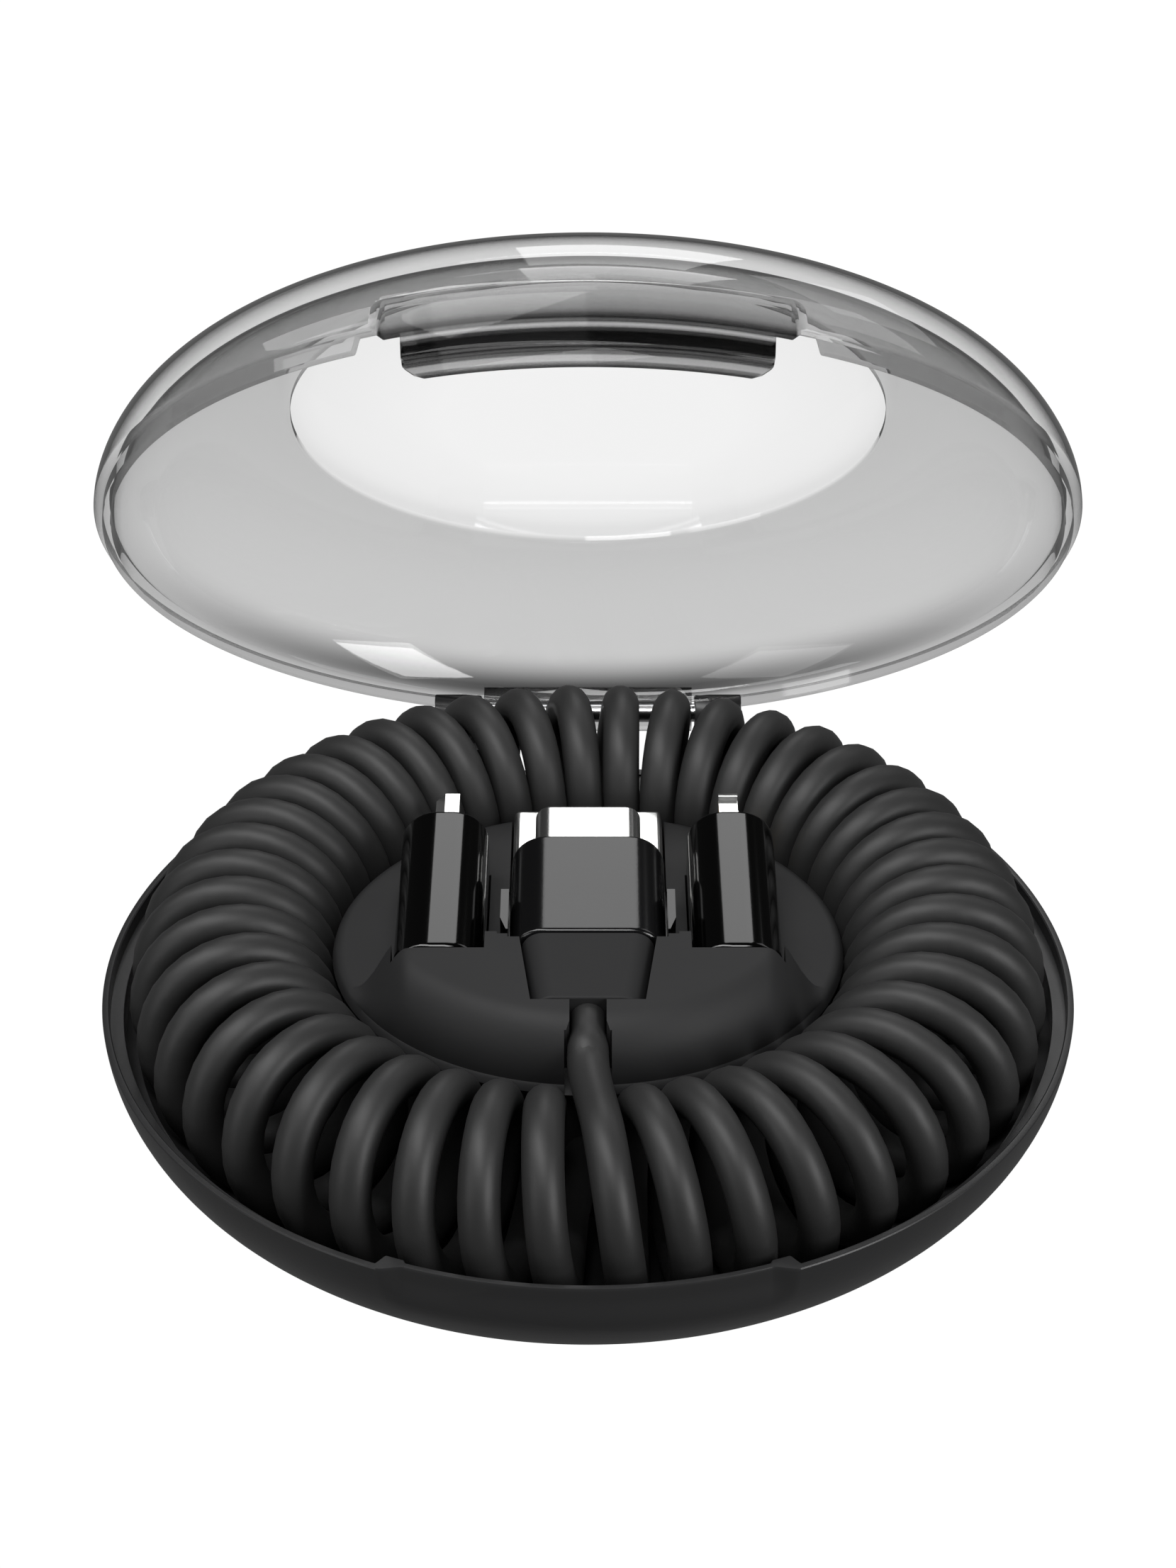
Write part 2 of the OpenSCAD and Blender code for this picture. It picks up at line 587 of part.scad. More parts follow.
case_bottom();
hub();
hinge_pin();
cord_coil();
cord_lead();
cord_neck();
cord_tail();
type_c_shell();
type_c_insert();
type_c_body();
type_c_relief();
type_a_shell();
type_a_insert();
type_a_contacts();
type_a_body();
type_a_relief();
micro_shell();
micro_insert();
micro_body();
micro_socket();
slim_tab();
slim_contacts();
slim_body();
slim_socket();
lid();
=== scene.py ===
"""A coiled charging cable in a round case with a clear lid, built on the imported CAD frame."""

import json
import logging
import math
from dataclasses import dataclass
from enum import Enum

import bpy
import numpy as np
from bpy.types import Material, Mesh, Node, NodeSocket, NodeTree, Object
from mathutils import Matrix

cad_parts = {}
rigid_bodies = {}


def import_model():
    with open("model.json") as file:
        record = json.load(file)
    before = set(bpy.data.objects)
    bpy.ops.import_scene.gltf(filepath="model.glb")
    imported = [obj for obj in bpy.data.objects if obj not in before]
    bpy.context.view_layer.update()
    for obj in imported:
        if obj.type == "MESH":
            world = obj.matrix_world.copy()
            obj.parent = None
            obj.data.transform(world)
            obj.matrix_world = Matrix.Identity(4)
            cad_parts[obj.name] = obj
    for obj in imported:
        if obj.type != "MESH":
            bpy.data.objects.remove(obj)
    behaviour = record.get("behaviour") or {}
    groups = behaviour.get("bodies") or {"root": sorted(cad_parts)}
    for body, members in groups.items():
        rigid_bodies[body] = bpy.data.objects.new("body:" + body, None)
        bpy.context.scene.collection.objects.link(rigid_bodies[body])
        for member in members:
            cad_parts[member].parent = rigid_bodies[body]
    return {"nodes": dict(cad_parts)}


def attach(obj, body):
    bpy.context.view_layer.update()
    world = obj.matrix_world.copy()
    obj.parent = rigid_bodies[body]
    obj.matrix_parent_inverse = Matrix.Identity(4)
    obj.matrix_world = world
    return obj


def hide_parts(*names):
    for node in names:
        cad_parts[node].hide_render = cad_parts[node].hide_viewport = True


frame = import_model()

# Metres in a millimetre: every other length of this file is in millimetres, apart from the studio's
MM = 0.001
# Height of the rim plane, radius of the case, and place and barrel radius of the hinge
RIM_Z = 11.0
CASE_R = 37.5
HINGE_Y = 38.6
BARREL_R = 1.6
# Degrees that the lid stands open in the photograph
LID_OPEN = 52.3
# Exponents of the radius and of the height in the two domes' sections
BOWL_CURVE = (3.9, 1.85)
LID_CURVE = (4.51, 1.76)
# Edges that turn further than this stay sharp
SHARP = math.radians(32)
# Steps round the corner of a rounded outline
CORNER_STEPS = 8


class Body(Enum):
    """The rigid bodies that pieces ride on."""

    CASE = "case"
    LID = "lid"


# Shapes as whole arrays

def smooth(x: np.ndarray | float, lo: float, hi: float) -> np.ndarray:
    """Soft step from 0 to 1: three t squared less two t cubed, with t the share of the way from lo to hi."""
    t = np.clip((np.asarray(x, float) - lo) / (hi - lo), 0.0, 1.0)
    return t * t * (3.0 - 2.0 * t)


def dome_radius(z: np.ndarray, flat: float, full: float, depth: float, q: float, p: float) -> np.ndarray:
    """Radius of a soft dome: it falls from full to flat as one less the depth's share to the p, all to the 1 / q.

    Args:
        z: heights from the dome's widest circle.
        flat: radius of the flat at its end.
        full: radius of its widest circle.
        depth: height of the dome.
        q: exponent of the radius.
        p: exponent of the height.

    Returns:
        A radius for each height.
    """
    t = np.clip(np.abs(z) / depth, 0.0, 1.0)
    return flat + (full - flat) * np.power(1.0 - np.power(t, p), 1.0 / q)


def dome_levels(degrees: np.ndarray, p: float) -> np.ndarray:
    """Shares of a dome's height that space its rings along the curve: the sine of each angle to the 2 / p."""
    return np.power(np.sin(np.radians(degrees)), 2 / p)


def profile(rows: list[tuple], count: int) -> tuple[np.ndarray, np.ndarray]:
    """Radius and height arrays of a profile whose rows hold numbers or one value for each of count azimuths."""
    one = np.ones(count)
    return np.array([r * one for r, _ in rows]), np.array([z * one for _, z in rows])


def round_outline(width: float, height: float, radius: float) -> np.ndarray:
    """Rounded rectangle centred on the origin: four quarter circles, each with a point beside both its ends.

    Args:
        width: size along the first axis.
        height: size along the second axis.
        radius: corner radius.

    Returns:
        (n, 2) points.
    """
    radius = min(radius, width / 2 - 1e-4, height / 2 - 1e-4)
    turn = np.linspace(0.0, math.pi / 2, CORNER_STEPS + 1)
    flat = np.array([width / 2 - radius, height / 2 - radius])
    beside = np.minimum(0.12, flat * 0.4)
    quarter = np.stack([np.cos(turn), np.sin(turn)], axis=1) * radius + flat
    quarter = np.concatenate([[quarter[0] - [0, beside[1]]], quarter, [quarter[-1] - [beside[0], 0]]])
    half = np.concatenate([quarter, quarter[::-1] * [-1, 1]])
    return np.concatenate([half, half[::-1] * [1, -1]])


def make_mesh(name: str, verts: np.ndarray, faces: np.ndarray | list[int],
              sizes: np.ndarray | list[int]) -> Object:
    """New object from vertex, corner and face-size arrays.

    Args:
        name: object name.
        verts: (n, 3) array in millimetres.
        faces: flat array of vertex indices.
        sizes: number of corners of each face.

    Returns:
        The linked object, smooth shaded with sharp edges kept.
    """
    mesh = bpy.data.meshes.new(name)
    sizes = np.asarray(sizes, dtype=np.int32)
    faces = np.asarray(faces, dtype=np.int32)
    mesh.vertices.add(len(verts))
    mesh.vertices.foreach_set("co", (np.asarray(verts, dtype=np.float32) * MM).ravel())
    mesh.loops.add(len(faces))
    mesh.loops.foreach_set("vertex_index", faces)
    mesh.polygons.add(len(sizes))
    mesh.polygons.foreach_set("loop_start", np.concatenate([[0], np.cumsum(sizes)[:-1]]).astype(np.int32))
    mesh.polygons.foreach_set("loop_total", sizes)
    mesh.update(calc_edges=True)
    mesh.validate()
    mesh.shade_smooth()
    mesh.set_sharp_from_angle(angle=SHARP)
    obj = bpy.data.objects.new(name, mesh)
    bpy.context.scene.collection.objects.link(obj)
    return obj


def loft(name: str, rings: np.ndarray) -> Object:
    """Skin through equal rings, capped at both ends.

    Args:
        name: object name.
        rings: (k, n, 3) array in millimetres.

    Returns:
        The new object.
    """
    k, n, _ = rings.shape
    index = np.arange(k * n).reshape(k, n)
    a = index[:-1]
    b = index[1:]
    quads = np.stack([a, b, np.roll(b, -1, axis=1), np.roll(a, -1, axis=1)], axis=-1).reshape(-1)
    faces = np.concatenate([quads, index[0], index[-1][::-1]])
    sizes = np.concatenate([np.full(len(quads) // 4, 4), [n, n]])
    return make_mesh(name, rings.reshape(-1, 3), faces, sizes)


def along_y(outline: np.ndarray, y: float) -> np.ndarray:
    """An (n, 2) outline in X and Z placed at y."""
    return np.stack([outline[:, 0], np.full(len(outline), y), outline[:, 1]], axis=1)


def along_x(outline: np.ndarray, x: float) -> np.ndarray:
    """An (n, 2) outline in Y and Z placed at x."""
    return np.stack([np.full(len(outline), x), outline[:, 0], outline[:, 1]], axis=1)


def barrel(start: float, stop: float, count: int) -> np.ndarray:
    """Points in Y and Z of the hinge barrel: a circle round the axis between two angles in degrees."""
    turn = np.radians(np.linspace(start, stop, count))
    return np.stack([HINGE_Y + BARREL_R * np.cos(turn), BARREL_R * np.sin(turn)], axis=1)


def soft_bar(name: str, width: float, height: float, radius: float, y0: float, y1: float, edge: float,
             centre: tuple[float, float], taper: tuple[float, float] = (1.0, 1.0)) -> Object:
    """Rounded bar along Y whose end edges are quarter circles.

    Args:
        name: object name.
        width: size along X.
        height: size along Z.
        radius: corner radius of the outline.
        y0: near end.
        y1: far end.
        edge: radius of the end edges.
        centre: X and Z of the axis.
        taper: scale of the outline at the near end in X and in Z.

    Returns:
        The new object.
    """
    turn = np.linspace(0.0, math.pi / 2, 6)
    ends = np.append(edge * (1 - np.sin(turn)), 0.0)
    depth = np.append(edge * (1 - np.cos(turn)), edge + 0.1)
    y = np.concatenate([y0 + depth, (y1 - depth)[::-1]])
    inset = np.concatenate([ends, ends[::-1]])
    rings = []
    for position, cut, part in zip(y, inset, (y - y0) / (y1 - y0)):
        wide = taper[0] + (1 - taper[0]) * part
        tall = taper[1] + (1 - taper[1]) * part
        shape = round_outline(width * wide - 2 * cut, height * tall - 2 * cut, radius - cut * 0.5)
        rings.append(along_y(shape + np.array(centre), position))
    return loft(name, np.array(rings))


def sleeve(name: str, width: float, height: float, radius: float, y0: float, y1: float, sheet: float,
           centre: tuple[float, float]) -> Object:
    """Hollow sheet-metal shell along Y, open at its far end, where its edge is eased.

    Args:
        name: object name.
        width: size along X.
        height: size along Z.
        radius: corner radius of the outline.
        y0: closed near end.
        y1: open far end.
        sheet: thickness of the metal.
        centre: X and Z of the axis.

    Returns:
        The new object.
    """
    edge = sheet * 0.45
    plan = [(y0, 0.0), (y1 - edge - 0.1, 0.0), (y1 - edge, 0.0), (y1 - edge * 0.4, edge * 0.25), (y1, edge * 0.8),
            (y1 - edge * 0.1, sheet * 0.8), (y1 - edge, sheet), (y0 + 0.3, sheet)]
    rings = [along_y(round_outline(width - 2 * cut, height - 2 * cut, radius - cut) + np.array(centre), y)
             for y, cut in plan]
    return loft(name, np.array(rings))


def carve(body: Object, tools: list[Object], operation: str) -> None:
    """Joins or cuts a closed body with other closed bodies, which are then removed.

    Args:
        body: the piece that is changed.
        tools: the bodies that join or cut it.
        operation: UNION or DIFFERENCE.
    """
    for tool in tools:
        step = body.modifiers.new(tool.name, "BOOLEAN")
        step.operation = operation
        step.solver = "MANIFOLD"
        step.object = tool
    bpy.context.view_layer.update()
    solid = bpy.data.meshes.new_from_object(body.evaluated_get(bpy.context.evaluated_depsgraph_get()))
    body.modifiers.clear()
    body.data = solid
    solid.shade_smooth()
    solid.set_sharp_from_angle(angle=SHARP)
    for tool in tools:
        bpy.data.objects.remove(tool)


def side_angle(x: float, radius: float) -> float:
    """Azimuth in degrees at which a circle of the given radius is x away from the middle plane."""
    return math.degrees(math.asin(x / radius))


def azimuths(marks: list[float], coarse: int = 300, reach: float = 0.9, fine: float = 0.07) -> np.ndarray:
    """Angles round the axis: even ones, and closer ones near each mark and its mirror image.

    Args:
        marks: angles in degrees from the front where the section changes.
        coarse: number of even angles.
        reach: degrees on either side of a mark that are closer.
        fine: degrees between the closer ones.

    Returns:
        Angles in radians, in rising order.
    """
    base = np.linspace(-180.0, 180.0, coarse, endpoint=False)
    extra = [np.arange(s * m - reach, s * m + reach, fine) for m in marks for s in (-1, 1)]
    angles = np.unique(np.round(np.concatenate([base] + extra), 4))
    keep = np.concatenate([[True], np.diff(angles) > 0.03])
    return np.radians(angles[keep])


def spin(psi: np.ndarray, radius: np.ndarray, height: np.ndarray) -> np.ndarray:
    """Points round the axis from (m, n) radii and heights; azimuth psi is 0 at the front, towards minus Y."""
    return np.stack([radius * np.sin(psi), -radius * np.cos(psi), height], axis=-1)


def tilt(points: np.ndarray) -> np.ndarray:
    """Points of the shut lid turned about the hinge axis to where it stands open.

    Args:
        points: (..., 3) points with heights from the rim plane.

    Returns:
        The same points with heights from the table.
    """
    turn = math.radians(LID_OPEN)
    y = points[..., 1] - HINGE_Y
    z = points[..., 2]
    return np.stack([points[..., 0], HINGE_Y + y * math.cos(turn) + z * math.sin(turn),
                     RIM_Z - y * math.sin(turn) + z * math.cos(turn)], axis=-1)


# Finishes

@dataclass(frozen=True)
class Finish:
    """Constant values of one moulded, plated or drawn surface.

    Args:
        name: material name.
        colour: linear base colour.
        roughness: mean roughness.
        metallic: 1 for plated metal.
        specular: strength of the dielectric reflection.
        wear: how far the roughness wanders over the surface.
        grain: height of the fine bump.
        grain_scale: cells of the fine bump per metre.
    """

    name: str
    colour: tuple[float, float, float]
    roughness: float
    metallic: float = 0.0
    specular: float = 0.5
    wear: float = 0.0
    grain: float = 0.0
    grain_scale: float = 900.0


class Finishes(Enum):
    """Every finish of the scene."""

    CASE = Finish("case_black", (0.020, 0.020, 0.0205), 0.38, wear=0.10, grain=0.05, grain_scale=2600)
    SATIN = Finish("satin_black", (0.016, 0.016, 0.0165), 0.62, specular=0.35, wear=0.10, grain=0.06, grain_scale=2400)
    PLUG = Finish("plug_black", (0.004, 0.004, 0.0043), 0.17, wear=0.06, grain=0.03, grain_scale=2600)
    GLOSS = Finish("gloss_black", (0.001, 0.001, 0.001), 0.10, wear=0.03)
    RELIEF = Finish("relief_black", (0.015, 0.015, 0.0155), 0.64, specular=0.3, wear=0.08, grain=0.08, grain_scale=2000)
    CORD = Finish("cord_black", (0.021, 0.021, 0.0213), 0.50, specular=0.45, wear=0.08, grain=0.07, grain_scale=2200)
    METAL = Finish("plug_metal", (0.94, 0.94, 0.93), 0.22, metallic=1.0, wear=0.02)
    GOLD = Finish("gold_contact", (0.83, 0.62, 0.25), 0.25, metallic=1.0, wear=0.04)
    PALE = Finish("insulator", (0.7, 0.7, 0.67), 0.5, wear=0.05)
    STEEL = Finish("pin_steel", (0.65, 0.65, 0.66), 0.22, metallic=1.0, wear=0.05)


@dataclass(frozen=True)
class ClearFinish:
    """Values of the lid's clear plastic.

    Args:
        name: material name.
        wall: tint of light that crosses the dome's wall.
        disc: tint of light that crosses the polished disc.
        ior: bend of the light in the plastic.
        gloss: roughness of the polished coat.
    """

    name: str = "clear_plastic"
    wall: float = 0.46
    disc: float = 0.93
    ior: float = 1.02
    gloss: float = 0.04


def set_inputs(node: Node, **values: float | tuple[float, ...]) -> None:
    """Sets a node's inputs; a name's underscores stand for spaces."""
    for name, value in values.items():
        node.inputs[name.replace("_", " ")].default_value = value


def math_node(tree: NodeTree, operation: str, *values: float | NodeSocket,
              clamp: bool = False) -> NodeSocket:
    """Adds a Math node fed by numbers or sockets.

    Args:
        tree: node tree that takes the node.
        operation: name of the operation.
        values: one to three numbers or sockets.
        clamp: keep the result between 0 and 1.

    Returns:
        The node's output socket.
    """
    node = tree.nodes.new("ShaderNodeMath")
    node.operation = operation
    node.use_clamp = clamp
    for slot, value in zip(node.inputs, values):
        if isinstance(value, NodeSocket):
            tree.links.new(value, slot)
        else:
            slot.default_value = value
    return node.outputs[0]


def ramp_node(tree: NodeTree, value: NodeSocket,
              stops: tuple[tuple[float, float], ...]) -> NodeSocket:
    """Adds a grey colour ramp through the given stops.

    Args:
        tree: node tree that takes the node.
        value: socket that drives the ramp.
        stops: pairs of position and grey value, in order.

    Returns:
        The ramp's colour socket.
    """
    node = tree.nodes.new("ShaderNodeValToRGB")
    band = node.color_ramp
    band.elements[0].position, band.elements[1].position = stops[0][0], stops[-1][0]
    band.elements[0].color = (stops[0][1],) * 3 + (1.0,)
    band.elements[1].color = (stops[-1][1],) * 3 + (1.0,)
    for place, grey in stops[1:-1]:
        band.elements.new(place).color = (grey, grey, grey, 1.0)
    tree.links.new(value, node.inputs["Fac"])
    return node.outputs["Color"]


def wear_group() -> NodeTree:
    """Shared group that turns object coordinates into wandering roughness and fine grain.

    Returns:
        The group, with inputs Roughness, Wear, Grain and Scale and outputs Roughness and Height.
    """
    group = bpy.data.node_groups.new("surface_wear", "ShaderNodeTree")
    for name in ("Roughness", "Wear", "Grain", "Scale"):
        group.interface.new_socket(name=name, in_out="INPUT", socket_type="NodeSocketFloat")
    for name in ("Roughness", "Height"):
        group.interface.new_socket(name=name, in_out="OUTPUT", socket_type="NodeSocketFloat")
    inlet = group.nodes.new("NodeGroupInput")
    outlet = group.nodes.new("NodeGroupOutput")
    place = group.nodes.new("ShaderNodeTexCoord")
    cloud = group.nodes.new("ShaderNodeTexNoise")
    set_inputs(cloud, Scale=130.0, Detail=3.0)
    fine = group.nodes.new("ShaderNodeTexNoise")
    set_inputs(fine, Detail=2.0)
    group.links.new(place.outputs["Object"], cloud.inputs["Vector"])
    group.links.new(place.outputs["Object"], fine.inputs["Vector"])
    group.links.new(inlet.outputs["Scale"], fine.inputs["Scale"])
    centred = math_node(group, "SUBTRACT", cloud.outputs["Fac"], 0.5)
    total = math_node(group, "MULTIPLY_ADD", centred, inlet.outputs["Wear"], inlet.outputs["Roughness"], clamp=True)
    rise = math_node(group, "MULTIPLY", fine.outputs["Fac"], inlet.outputs["Grain"])
    group.links.new(total, outlet.inputs["Roughness"])
    group.links.new(rise, outlet.inputs["Height"])
    return group


def shader_of(material: Material) -> Node:
    """The Principled node of a material."""
    return next(n for n in material.node_tree.nodes if n.type == "BSDF_PRINCIPLED")


class Paint:
    """Makes and hands out the materials."""

    def __init__(self) -> None:
        """Makes the shared group once."""
        self.group = wear_group()
        self.made: dict[str, Material] = {}

    def start(self, name: str) -> tuple[Material, Node]:
        """A new material and its shader node."""
        material = bpy.data.materials.new(name)
        material.use_nodes = True
        self.made[name] = material
        return material, shader_of(material)

    def solid(self, finish: Finish) -> Material:
        """The material of an opaque finish, made at its first use.

        Args:
            finish: constant values of the surface.

        Returns:
            The material.
        """
        if finish.name in self.made:
            return self.made[finish.name]
        material, shader = self.start(finish.name)
        tree = material.node_tree
        set_inputs(shader, Base_Color=(*finish.colour, 1.0), Metallic=finish.metallic,
                   Specular_IOR_Level=finish.specular)
        worn = tree.nodes.new("ShaderNodeGroup")
        worn.node_tree = self.group
        set_inputs(worn, Roughness=finish.roughness, Wear=finish.wear, Grain=finish.grain, Scale=finish.grain_scale)
        tree.links.new(worn.outputs["Roughness"], shader.inputs["Roughness"])
        if finish.grain:
            bump = tree.nodes.new("ShaderNodeBump")
            set_inputs(bump, Strength=0.4, Distance=0.0003)
            tree.links.new(worn.outputs["Height"], bump.inputs["Height"])
            tree.links.new(bump.outputs["Normal"], shader.inputs["Normal"])
        return material

    def paint_cord_shade(self, material: Material) -> None:
        """Paints shade into a coiled cord's colour and dulls it towards the inside of its ring, low down, where little
        light gets in.

        The distance from the axis runs to 1 at 40 mm and the height at 20 mm, and two ramps take the rest.

        Args:
            material: the cord's material.
        """
        tree = material.node_tree
        shader = shader_of(material)
        place = tree.nodes.new("ShaderNodeTexCoord")
        axes = tree.nodes.new("ShaderNodeSeparateXYZ")
        tree.links.new(place.outputs["Object"], axes.inputs[0])
        span = math_node(tree, "SQRT", math_node(tree, "MULTIPLY_ADD", axes.outputs["X"], axes.outputs["X"],
                                                 math_node(tree, "MULTIPLY", axes.outputs["Y"], axes.outputs["Y"])))
        inner = ramp_node(tree, math_node(tree, "MULTIPLY", span, 25.0), ((0.0, 1.0), (0.655, 1.0), (0.70, 0.0)))
        low = ramp_node(tree, math_node(tree, "MULTIPLY", axes.outputs["Z"], 50.0),
                        ((0.0, 1.0), (0.5, 1.0), (0.88, 0.0)))
        # Painted shade: this mask darkens the cord's base colour and raises its roughness
        depth = math_node(tree, "MULTIPLY", inner, low)
        tone = shader.inputs["Base Color"].default_value[0]
        tree.links.new(math_node(tree, "MULTIPLY_ADD", depth, -0.92 * tone, tone), shader.inputs["Base Color"])
        worn = shader.inputs["Roughness"].links[0].from_socket
        tree.links.new(math_node(tree, "MULTIPLY_ADD", depth, 0.45, worn, clamp=True), shader.inputs["Roughness"])

    def clear(self, finish: ClearFinish) -> Material:
        """The lid's clear plastic: paler on the disc, with painted darkening where its wall is seen edge on,
        painted shade low on the back of the dome and painted bands of light and dark at the latch.

        Args:
            finish: values of the plastic.

        Returns:
            The material.
        """
        material, shader = self.start(finish.name)
        tree = material.node_tree
        zone, rise, latch, shade, gloss = (tree.nodes.new("ShaderNodeAttribute") for _ in range(5))
        for node, name in ((zone, "disc"), (rise, "rise"), (latch, "latch"), (shade, "shade"), (gloss, "gloss")):
            node.attribute_name = name
        weight = tree.nodes.new("ShaderNodeLayerWeight")
        weight.inputs["Blend"].default_value = 0.5
        # Painted darkening where the wall is seen edge on, standing in for refraction and dark reflections
        edge = ramp_node(tree, weight.outputs["Facing"], EDGE_PAINTED_DARK)
        # Painted bands of light and dark up the latch, standing in for its refraction
        band = ramp_node(tree, rise.outputs["Fac"], LATCH_PAINTED_BANDS)
        wall = math_node(tree, "MULTIPLY_ADD", zone.outputs["Fac"], finish.disc - finish.wall, finish.wall)
        painted_latch_bands = math_node(tree, "MULTIPLY_ADD", math_node(tree, "SUBTRACT", band, 1.0), latch.outputs["Fac"], 1.0)
        # Painted shade: the wall's tint darkened low on the back of the dome
        wall_with_painted_shade = math_node(tree, "MULTIPLY", wall, shade.outputs["Fac"])
        tint = math_node(tree, "MULTIPLY", math_node(tree, "MULTIPLY", wall_with_painted_shade, painted_latch_bands), edge)
        tree.links.new(tint, shader.inputs["Base Color"])
        tree.links.new(gloss.outputs["Fac"], shader.inputs["Coat Weight"])
        set_inputs(shader, Roughness=0.0, IOR=finish.ior, Transmission_Weight=1.0, Coat_Roughness=finish.gloss,
                   Coat_IOR=1.5)
        return material

    def put(self, obj: Object, finish: Finish | ClearFinish) -> None:
        """Gives an object one finish.

        Args:
            obj: the piece.
            finish: what it is made of.
        """
        material = self.clear(finish) if isinstance(finish, ClearFinish) else self.solid(finish)
        obj.data.materials.clear()
        obj.data.materials.append(material)


# Painted darkening of the clear plastic where a wall is seen edge on, standing in for refraction and dark reflections:
# grey factors by how far a wall turns from the eye
EDGE_PAINTED_DARK = ((0.0, 1.0), (0.70, 1.0), (0.80, 0.62), (0.90, 0.20), (0.96, 0.06), (1.0, 0.03))
# Painted bands of light and dark up the latch, standing in for its refraction: grey factors from the tongue's lower
# edge at 0 to the recess's top at 1
LATCH_PAINTED_BANDS = ((0.0, 0.1), (0.03, 0.2), (0.05, 1.0), (0.17, 0.8), (0.19, 0.05), (0.24, 0.03), (0.26, 1.0),
              (0.29, 0.02), (0.5, 0.01), (0.54, 0.9), (0.61, 1.0), (0.64, 0.03), (0.7, 0.08), (0.78, 0.5), (1.0, 0.9))


# Pieces

@dataclass
class Assembly:
    """A group of pieces that takes its finishes from one set of materials."""

    paint: Paint

    def build(self) -> None:
        """Makes the pieces of the group."""
        raise NotImplementedError


@dataclass
class Cord(Assembly):
    """The coiled cord: a lead from the neck, the ring of small turns and a hidden tail.

    The centreline is a small circle carried round a large one. Near the front the turns lie a little
    further in, beside the latch.
    """

    diameter: float = 3.05
    ring_r: float = 27.4
    ring_z: float = 0.3
    turn_r: float = 6.45
    turn_h: float = 6.5
    first_top: float = -87.95
    pitch: float = 8.1663
    sway: tuple[float, ...] = (2.4025, -0.0335, 0.3161, 0.2587, -0.9275, -0.2362, -0.3744, 0.0722)
    start: float = 76.0
    turns: float = 43.43
    steps: int = 30
    ring_count: float = 44.0
    dent: float = 0.35
    dent_reach: float = 19.0
    exit_y: float = -18.85
    exit_z: float = 6.45
    neck_r: float = 1.25
    neck_bend: float = 6.6
    neck_turn: float = 29.5
    neck_z: float = 7.3

    def azimuth(self, t: np.ndarray) -> np.ndarray:
        """Azimuth in degrees of the centreline: an even pitch plus four slow waves round the ring.

        Args:
            t: angle in degrees round the small turns, 90 at a turn's top.

        Returns:
            Azimuth of each point, -90 at the front.
        """
        k = (t - 90.0) / 360.0
        wave = np.radians(k * 360.0 / self.ring_count)
        bend = sum(a * np.sin((i + 1) * wave) + b * np.cos((i + 1) * wave)
                   for i, (a, b) in enumerate(zip(self.sway[::2], self.sway[1::2])))
        return self.first_top + self.pitch * k + bend

    def helix(self) -> np.ndarray:
        """Centreline of the ring of turns: a circle of turn_r carried round a circle of ring_r.

        Returns:
            (n, 3) points in millimetres from the rim plane.
        """
        t = self.start + np.linspace(0.0, 360.0 * self.turns, int(self.turns * self.steps))
        phi = np.radians(self.azimuth(t))
        t = np.radians(t)
        front = np.exp(-np.square((np.degrees(phi) + 90.0 - 360.0 * (phi > 1.6)) / self.dent_reach))
        radius = self.ring_r - self.turn_r * np.cos(t) - self.dent * front * (1 - np.cos(t)) / 2
        return np.stack([radius * np.cos(phi), radius * np.sin(phi), self.ring_z + self.turn_h * np.sin(t)], axis=1)

    def lead(self, ring: np.ndarray) -> np.ndarray:
        """Cubic arc with set slopes at both ends, from the neck's end down and out to the first turn.

        Args:
            ring: centreline of the turns.

        Returns:
            (11, 3) points in millimetres from the rim plane.
        """
        s = np.linspace(0.0, 1.0, 12)[:-1, None]
        first = np.array([0.0, self.exit_y, self.exit_z])
        slope = (ring[1] - ring[0]) / np.linalg.norm(ring[1] - ring[0])
        return ((1 + 2 * s) * (1 - s) ** 2 * first + s * (1 - s) ** 2 * np.array([0.0, -4.6, -2.0])
                + s ** 2 * (3 - 2 * s) * ring[0] + s ** 2 * (s - 1) * slope * 6.5)

    def route(self) -> np.ndarray:
        """Whole centreline from the neck to the lower plug, in metres in the row frame."""
        tail = np.array([(-1.45, -23.0, -5.1), (-1.1, -21.6, -4.2), (-0.5, -20.0, -3.2), (0, -17.5, -1.6),
                         (0, -15.5, -0.5), (0, -13.6, 0.6), (0, -12.1, 1.05)])
        ring = self.helix()
        points = np.concatenate([self.lead(ring), ring, tail])
        return (points + np.array([0, 0, RIM_Z])) * MM

    def neck(self) -> None:
        """The moulded neck: a round section carried along a straight run and a bend, swelling to the cord."""
        turn = np.radians(np.concatenate([[0.0, 0.0], np.linspace(0.0, self.neck_turn, 14)]))
        y = np.concatenate([[-15.2], [-15.45], -15.6 - self.neck_bend * np.sin(turn[2:])])
        z = self.neck_z - self.neck_bend * (1 - np.cos(turn))
        radius = self.neck_r + (self.diameter / 2 - self.neck_r) * smooth(-y, 17.0, 18.4)
        circle = np.linspace(0.0, 2 * math.pi, 24, endpoint=False)
        across = np.cos(circle)[None, :] * radius[:, None]
        up = np.sin(circle)[None, :] * radius[:, None]
        rings = np.stack([across, y[:, None] - up * np.sin(turn)[:, None], z[:, None] + up * np.cos(turn)[:, None]],
                         axis=-1)
        obj = loft("neck", rings + np.array([0, 0, RIM_Z]))
        self.paint.put(obj, Finishes.CORD.value)
        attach(obj, Body.CASE.value)
        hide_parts("cord_neck")

